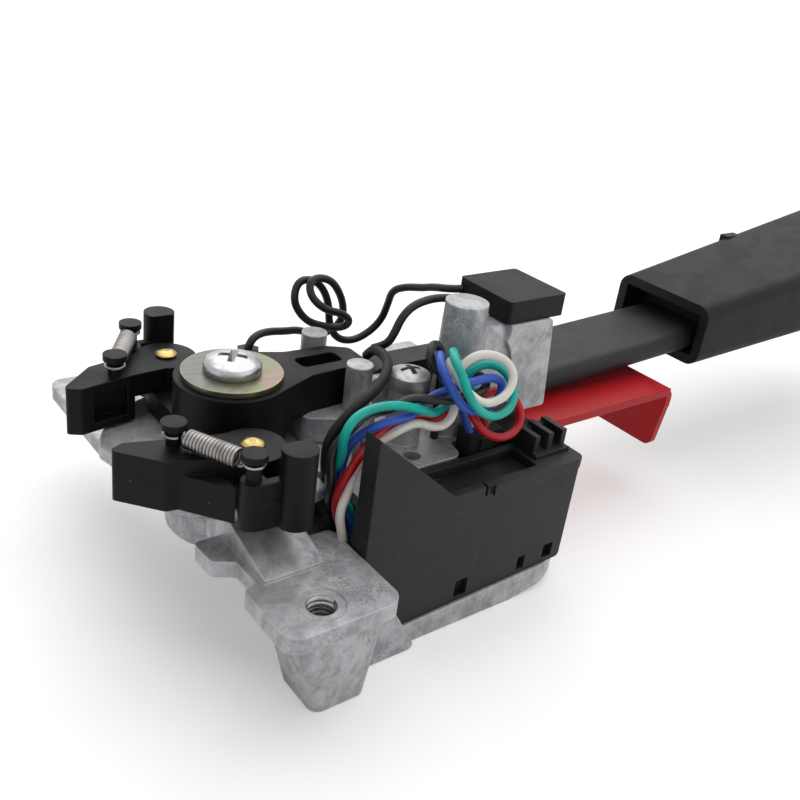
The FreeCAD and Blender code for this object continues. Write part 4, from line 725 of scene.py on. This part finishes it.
def spring_recipe():
    recipe = Recipe("tension_spring", SPRING_SIZES)
    coil, hook = recipe.size("Coil radius"), recipe.size("Hook radius")
    span, stem = recipe.size("Span"), recipe.size("Stem")
    first = recipe.maths("ADD", hook, stem)
    last = recipe.maths("SUBTRACT", span, first)
    coils = recipe.node("GeometryNodeCurveSpiral", None, {
        "Resolution": COIL_STEPS, "Rotations": recipe.size("Turns"), "Start Radius": coil,
        "End Radius": coil, "Height": recipe.maths("SUBTRACT", last, first),
    })
    coils = recipe.node("GeometryNodeTransform", None, {
        "Geometry": coils, "Translation": recipe.point(first),
        "Rotation": recipe.point(0.0, math.radians(90)),
    })
    below = recipe.maths("MULTIPLY", coil, -1.0)
    parts = [coils]
    for centre, edge, side, start in ((0.0, first, 1, 0.0), (span, last, -1, math.pi)):
        eye = recipe.maths("ADD", centre, recipe.maths("MULTIPLY", hook, float(side)))
        knee = recipe.maths("ADD", eye, recipe.maths("MULTIPLY", stem, KNEE_SHARE * side))
        parts.append(recipe.node("GeometryNodeCurveQuadraticBezier", None, {
            "Resolution": STEM_STEPS, "Start": recipe.point(edge, 0.0, below),
            "Middle": recipe.point(knee, 0.0, below), "End": recipe.point(eye),
        }))
        loop = recipe.node("GeometryNodeCurveArc", {"mode": "RADIUS"}, {
            "Resolution": HOOK_STEPS, "Radius": hook, "Start Angle": start,
            "Sweep Angle": HOOK_SWEEP * side,
        })
        parts.append(recipe.node(
            "GeometryNodeTransform", None, {"Geometry": loop, "Translation": recipe.point(centre)}))
    wire = recipe.node("GeometryNodeJoinGeometry", None, {0: parts})
    return recipe.sweep(wire, WIRE_SIDES, recipe.size("Wire radius"))


SPRING = spring_recipe()
print("spring sizes", SPRING_SIZES)

# %% [markdown]
# Each spring hangs between a post on its pawl and a post on the rotor's wing. It is grown once,
# turned to lie along the line between the two posts and moved to the pawl's post, and the spring
# of the imported part is hidden.

# %% Pawl springs
WING_SKEW = math.radians(-2.6)


def flat_place(side):
    """The turn of the rotor's skewed wings, mirrored for the near side."""
    return Matrix.Rotation(WING_SKEW, 4, "Z") @ Matrix.Diagonal((1, side, 1, 1))


def hang_spring(name, side):
    spring = grow(name, SPRING, SPRING_SIZES, FINISHES["spring_steel"])
    start = flat_place(side) @ (PAWL_POST * MM)
    end = flat_place(side) @ (WING_POST * MM)
    angle = math.atan2(end.y - start.y, end.x - start.x)
    spring.data.transform(Matrix.Translation(start) @ Matrix.Rotation(angle, 4, "Z"))
    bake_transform(spring)
    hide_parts(name)


hang_spring("spring_far", 1)
hang_spring("spring_near", -1)

# %% [markdown]
# Screws and rivets are turned on a lathe, so a profile spun about its axis is how they are really
# made. The mesh is then merged along its seam and its faces are turned outwards, because a spin
# can leave them inside out.

# %% Turned parts
ROUND_STEPS = 64
SAME_POINT = 0.00001
DIAGONAL = 0.7


def mesh_of(name, build, finish):
    """A mesh object from a function that fills a bmesh, with its faces turned outwards."""
    shape = bmesh.new()
    build(shape)
    bmesh.ops.remove_doubles(shape, verts=shape.verts, dist=SAME_POINT)
    bmesh.ops.recalc_face_normals(shape, faces=shape.faces)
    mesh = bpy.data.meshes.new(name)
    shape.to_mesh(mesh)
    shape.free()
    mesh.materials.append(finish)
    return add_object(name, mesh)


def lathe(profile):
    """A closed solid from (radius, height) points in millimetres, spun about the vertical axis."""
    def build(shape):
        points = [shape.verts.new((r * MM, 0, z * MM)) for r, z in profile]
        edges = [shape.edges.new(pair) for pair in zip(points, points[1:])]
        bmesh.ops.spin(
            shape, geom=points + edges, cent=(0, 0, 0), axis=(0, 0, 1), angle=2 * math.pi,
            steps=ROUND_STEPS, use_merge=True,
        )
    return build


def arc_points(r0, z0, r1, z1, bulge, count):
    """Points of a dome between two (radius, height) points, pushed out by a share of its length."""
    points = []
    for i in range(count + 1):
        t = i / count
        push = 4 * bulge * t * (1 - t) * math.hypot(r1 - r0, z1 - z0) * DIAGONAL
        points.append((r0 + (r1 - r0) * t + push, z0 + (z1 - z0) * t + push))
    return points


def capped(profile, widest, highest):
    """The same profile, kept inside its widest radius and below its highest point."""
    return [(min(r, widest), min(z, highest)) for r, z in profile]


def finish_piece(piece, body, replaced, crisp=40):
    """Shades a made piece smoothly except at its crisp edges, and hands it to its body."""
    piece.data.set_sharp_from_angle(angle=math.radians(crisp))
    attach(piece, body)
    if replaced:
        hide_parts(replaced)
    print(piece.name, "rides on", body)


print("round parts are spun in", ROUND_STEPS, "steps")

# %% [markdown]
# Both screws have a pan head, which is a flat cheese with a rounded top. The pivot's screw is
# bright and low, and the bracket's is taller, flatter on top and duller. The cross recess is
# pressed in: a tapered cross is taken out of the head with a Boolean, one arm after the other.

# %% Screws
TIP_R, TIP_H = 0.8, 0.6
RIM = ((0.97, 0), (1, 0.12), (0.99, 0.42))
SHOULDER_R, SHOULDER_H = 0.95, 0.85
FLAT_R = 0.16
CROSS_ARM, CROSS_HALF, CROSS_DEPTH = 0.54, 0.12, 0.66
CROSS_OVER = (0.5, 1.08, 1.1)
CROSS_TAPER = ((0.55, 0.72, 0.86), (1, 0.36, 0.6))


def cut_cross(head, top, arm, half, depth, turn):
    """Presses a tapered cross into a head, the recess that a screwdriver fits."""
    above, arm_over, half_over = CROSS_OVER
    levels = [(top + above, arm * arm_over, half * half_over)]
    levels += [(top - depth * down, arm * along, half * wide) for down, along, wide in CROSS_TAPER]

    def build(shape):
        rings = []
        for z, length, width in levels:
            corners = [(-length, -width), (length, -width), (length, width), (-length, width)]
            rings.append([shape.verts.new((x * MM, y * MM, z * MM)) for x, y in corners])
        for low, high in zip(rings, rings[1:]):
            for i in range(4):
                shape.faces.new((low[i], low[(i + 1) % 4], high[(i + 1) % 4], high[i]))
        shape.faces.new(rings[0])
        shape.faces.new(rings[-1])

    for quarter in range(2):
        cutter = mesh_of("cross_cutter", build, head.data.materials[0])
        cutter.data.transform(Matrix.Rotation(turn + quarter * math.pi / 2, 4, "Z"))
        cut = head.modifiers.new("cross", "BOOLEAN")
        cut.operation = "DIFFERENCE"
        cut.solver = "EXACT"
        cut.object = cutter
        head = freeze(head)
        bpy.data.objects.remove(cutter)
    return head


def pan_screw(name, x, y, seat, tip, shank_r, head_r, head_h, turn, crown, finish):
    """A screw whose head is laid out in shares of its own radius and height above the seat."""
    def on_head(r, h):
        return head_r * r, seat + head_h * h

    top = seat + head_h
    shoulder = on_head(SHOULDER_R, SHOULDER_H - 3 * crown)
    profile = [(0, tip), (shank_r * TIP_R, tip), (shank_r, tip + TIP_H), (shank_r, seat)]
    profile += [on_head(r, h) for r, h in RIM]
    profile += arc_points(*shoulder, *on_head(FLAT_R, 1), crown, 10) + [(0, top)]
    screw = mesh_of(name, lathe(capped(profile, head_r, top)), FINISHES[finish])
    arm, half, depth = head_r * CROSS_ARM, head_r * CROSS_HALF, head_h * CROSS_DEPTH
    screw = cut_cross(screw, top, arm, half, depth, math.radians(turn))
    screw.data.transform(Matrix.Translation((x * MM, y * MM, 0)))
    finish_piece(screw, "base", name)


pan_screw(
    "pivot_screw", x=0, y=0, seat=31.0, tip=3.0, shank_r=2.5, head_r=5.2, head_h=3.0,
    turn=-38, crown=0.09, finish="bright_steel",
)
pan_screw(
    "bracket_screw", x=29.8, y=-13.0, seat=28.0, tip=9.4, shank_r=2.0, head_r=4.1, head_h=3.9,
    turn=-12, crown=0.05, finish="dull_steel",
)

# %% [markdown]
# Each pawl turns on a brass rivet whose end is spread into a low dome with a small dimple, where
# the punch sat. It is spun in the same way, then moved to its place on the skewed wing. The near
# one is mirrored, which turns its faces inside out, so they are flipped back.

# %% Rivets
RIVET_AT = (-4.8, 18.1)
RIVET_FOOT, RIVET_SEAT, RIVET_TOP = 17.3, 26.7, 27.6
RIVET_SHANK_R, RIVET_HEAD_R = 1.5, 2.0
DOME_FOOT, DOME_TOP_R, DOME_BULGE = 0.3, 0.5, 0.12
DIMPLE = ((0.36, 0), (0.24, 0.12), (0, 0.14))


def rivet(name, side):
    profile = [(0, RIVET_FOOT), (RIVET_SHANK_R, RIVET_FOOT), (RIVET_SHANK_R, RIVET_SEAT)]
    profile += [(RIVET_HEAD_R * 0.96, RIVET_SEAT)]
    profile += arc_points(
        RIVET_HEAD_R, RIVET_SEAT + DOME_FOOT, DOME_TOP_R, RIVET_TOP, DOME_BULGE, 6)
    profile += [(r, RIVET_TOP - down) for r, down in DIMPLE]
    pin = mesh_of(name, lathe(capped(profile, RIVET_HEAD_R, RIVET_TOP)), FINISHES["bearing_brass"])
    x, y = RIVET_AT
    pin.data.transform(flat_place(side) @ Matrix.Translation((x * MM, y * MM, 0)))
    if side < 0:
        pin.data.flip_normals()
    finish_piece(pin, "turn", name)


rivet("pawl_pin_far", 1)
rivet("pawl_pin_near", -1)

# %% [markdown]
# The two lugs are tapped for the column's screws. A tap leaves a helical ridge, and a spiral
# curve swept with a four-sided section is just that. The ridge sits half in the wall of the hole,
# so only its crest shows.

# %% Threads in the lugs
LUG_HOLE_X, LUG_HOLE_Y = -5.0, 40.0
THREAD_FOOT = 0.7
THREAD_SIZES = {"Ridge": 0.42 * MM, "Radius": 2.52 * MM, "Turns": 9, "Height": 8.6 * MM}
TURN_STEPS = 40
RIDGE_SIDES = 4


def thread_recipe():
    recipe = Recipe("hole_thread", THREAD_SIZES)
    radius = recipe.size("Radius")
    path = recipe.node("GeometryNodeCurveSpiral", None, {
        "Resolution": TURN_STEPS, "Rotations": recipe.size("Turns"), "Start Radius": radius,
        "End Radius": radius, "Height": recipe.size("Height"),
    })
    return recipe.sweep(path, RIDGE_SIDES, recipe.size("Ridge"))


THREAD = thread_recipe()
for name, side in (("thread_far", 1), ("thread_near", -1)):
    ridge = grow(name, THREAD, THREAD_SIZES, FINISHES["bright_steel"])
    hole = (LUG_HOLE_X * MM, side * LUG_HOLE_Y * MM, THREAD_FOOT * MM)
    ridge.data.transform(Matrix.Translation(hole))
    finish_piece(ridge, "base", None, crisp=20)

# %% [markdown]
# Where the wires come up through the casting, a short rounded black block sits in the gap of the
# deck, a little narrower at the top. It is painted shade: a dark block that fills a gap where there
# is only shadow. A block like this is lofted through level slices, each a rectangle with rounded
# corners.

# %% Dark block that paints shade at the wires' foot
CORNER_STEPS = 6
# Slices of the black block that paints the shade in the gap of the deck.
SHADE_BLOCK_SLICES = (
    # height, left and right, front and back, corner radius
    (2.0, 6.0, 14.4, -23.4, -16.6, 1.6),
    (7.0, 6.0, 14.4, -23.4, -16.6, 1.6),
    (8.0, 6.2, 14.1, -23.1, -16.9, 1.8),
    (11.0, 6.3, 14.0, -23.0, -17.0, 1.8),
    (11.8, 6.8, 13.5, -22.5, -17.5, 1.8),
)


def rounded_ring(z, x0, x1, y0, y1, corner):
    """A closed loop of points round a rectangle with rounded corners, in millimetres."""
    left, right, front, back = x0 + corner, x1 - corner, y0 + corner, y1 - corner
    turns = ((right, back, 0), (left, back, 90), (left, front, 180), (right, front, 270))
    points = []
    for cx, cy, start in turns:
        for i in range(CORNER_STEPS + 1):
            angle = math.radians(start + 90 * i / CORNER_STEPS)
            points.append((cx + corner * math.cos(angle), cy + corner * math.sin(angle), z))
    return points


def loft(slices):
    """A closed solid through level slices."""
    def build(shape):
        rings = [rounded_ring(*level) for level in slices]
        loops = [[shape.verts.new(Vector(point) * MM) for point in ring] for ring in rings]
        count = len(loops[0])
        for low, high in zip(loops, loops[1:]):
            for i in range(count):
                shape.faces.new((low[i], low[(i + 1) % count], high[(i + 1) % count], high[i]))
        shape.faces.new(loops[0])
        shape.faces.new(loops[-1])
    return build


# A black block paints the shade in the gap of the deck where the wires come up.
shade_block = mesh_of("dark_shade_block", loft(SHADE_BLOCK_SLICES), FINISHES["black_rubber"])
finish_piece(shade_block, "base", None, crisp=35)

# %% [markdown]
# The tall tower of the gate bracket is joined to its flange by a cast web, thick at the foot and
# thin at the top, with a draft so that it leaves the mould. It is lofted in the same way as the
# black block that paints shade at the wires' foot.

# %% Bracket web
WEB_SLICES = (
    (22.5, 41.0, 54.6, -17.9, -11.4, 1.6),
    (30.0, 40.9, 51.8, -17.7, -11.2, 1.6),
    (36.0, 40.8, 50.6, -17.4, -11.0, 1.6),
    (38.6, 40.8, 50.2, -16.9, -11.2, 1.5),
    (39.2, 41.2, 49.9, -16.4, -11.8, 1.2),
)
web = mesh_of("bracket_web", loft(WEB_SLICES), FINISHES["cast_metal"])
finish_piece(web, "base", None, crisp=35)

# %% [markdown]
# The switch stands on a plain white sheet. The sheet is lit like the object, so that it takes the
# shadow, and glows a little towards the camera and in reflections, so that it looks white there.

# %% White sheet
FLOOR_Z = cad_box[0][2] - 0.0001
FLOOR_HALF = 6.0
PAPER = (0.9, 0.9, 0.9)
PAPER_GLOW = 0.3

floor_mesh = bpy.data.meshes.new("white_sheet")
corners = [(-1, -1), (1, -1), (1, 1), (-1, 1)]
square = [(x * FLOOR_HALF, y * FLOOR_HALF, FLOOR_Z) for x, y in corners]
floor_mesh.from_pydata(square, [], [(0, 1, 2, 3)])
floor = bpy.data.objects.new("white_sheet", floor_mesh)
bpy.context.scene.collection.objects.link(floor)
paper = Finish("white_paper", PAPER, 0.9, Specular_IOR_Level=0.0)
rays = paper.tree.nodes.new("ShaderNodeLightPath")
seen = Value(paper, rays.outputs["Is Camera Ray"]) + Value(paper, rays.outputs["Is Glossy Ray"])
paper.set("Emission Color", seen + Value(paper, rays.outputs["Is Transmission Ray"]))
paper.set("Emission Strength", PAPER_GLOW)
floor_mesh.materials.append(paper.material)
print("sheet at", round(FLOOR_Z, 4))

# %% [markdown]
# Behind the sheet is a white room. It is fully white to the camera, in reflections and through
# clear things, and much gentler as light, so that the lamps shape the object.

# %% White room
WORLD_LIGHT = 0.24

world = bpy.data.worlds.new("white_room")
bpy.context.scene.world = world
world.use_nodes = True
sky = world.node_tree
sky.nodes.clear()
path = sky.nodes.new("ShaderNodeLightPath")
looked_at = path.outputs["Is Camera Ray"]
for kind in ("Is Glossy Ray", "Is Transmission Ray"):
    either = sky.nodes.new("ShaderNodeMath")
    either.operation = "MAXIMUM"
    sky.links.new(looked_at, either.inputs[0])
    sky.links.new(path.outputs[kind], either.inputs[1])
    looked_at = either.outputs[0]
level = sky.nodes.new("ShaderNodeMapRange")
level.inputs["To Min"].default_value = WORLD_LIGHT
level.inputs["To Max"].default_value = 1.0
sky.links.new(looked_at, level.inputs["Value"])
back = sky.nodes.new("ShaderNodeBackground")
back.inputs["Color"].default_value = (1, 1, 1, 1)
sky.links.new(level.outputs[0], back.inputs["Strength"])
sky_out = sky.nodes.new("ShaderNodeOutputWorld")
sky.links.new(back.outputs[0], sky_out.inputs[0])
print("room gives", WORLD_LIGHT, "of its white as light")

# %% [markdown]
# Product photographs are lit by large soft lamps. Two very wide ones give the light from above
# and from the front with hardly any shadow edge, and two panels, left and behind, give the metal
# its sheen.

# %% Lamps
def hang_lamp(name, kind, direction, power):
    data = bpy.data.lights.new(name, kind)
    data.energy = power
    lamp = bpy.data.objects.new(name, data)
    lamp.rotation_mode = "QUATERNION"
    lamp.rotation_quaternion = Vector(direction).to_track_quat("-Z", "Y")
    bpy.context.scene.collection.objects.link(lamp)
    return lamp


def wide_lamp(name, direction, spread, power):
    hang_lamp(name, "SUN", direction, power).data.angle = math.radians(spread)


def panel_lamp(name, place, aim, size, power):
    lamp = hang_lamp(name, "AREA", Vector(aim) - Vector(place), power)
    lamp.location = place
    lamp.data.shape = "SQUARE"
    lamp.data.size = size


wide_lamp("lamp_over", direction=(-0.25, -0.3, -1.0), spread=75, power=1.85)
wide_lamp("lamp_front", direction=(-0.45, 0.85, -0.5), spread=60, power=0.5)
panel_lamp("lamp_left", place=(-0.7, -0.25, 0.45), aim=(0.02, 0, 0), size=0.5, power=0.25)
panel_lamp("lamp_far", place=(0.3, 0.8, 0.5), aim=(0.05, 0, 0), size=0.6, power=1.2)
bpy.context.scene.view_settings.view_transform = "Standard"
print("lamps", len(bpy.data.lights))
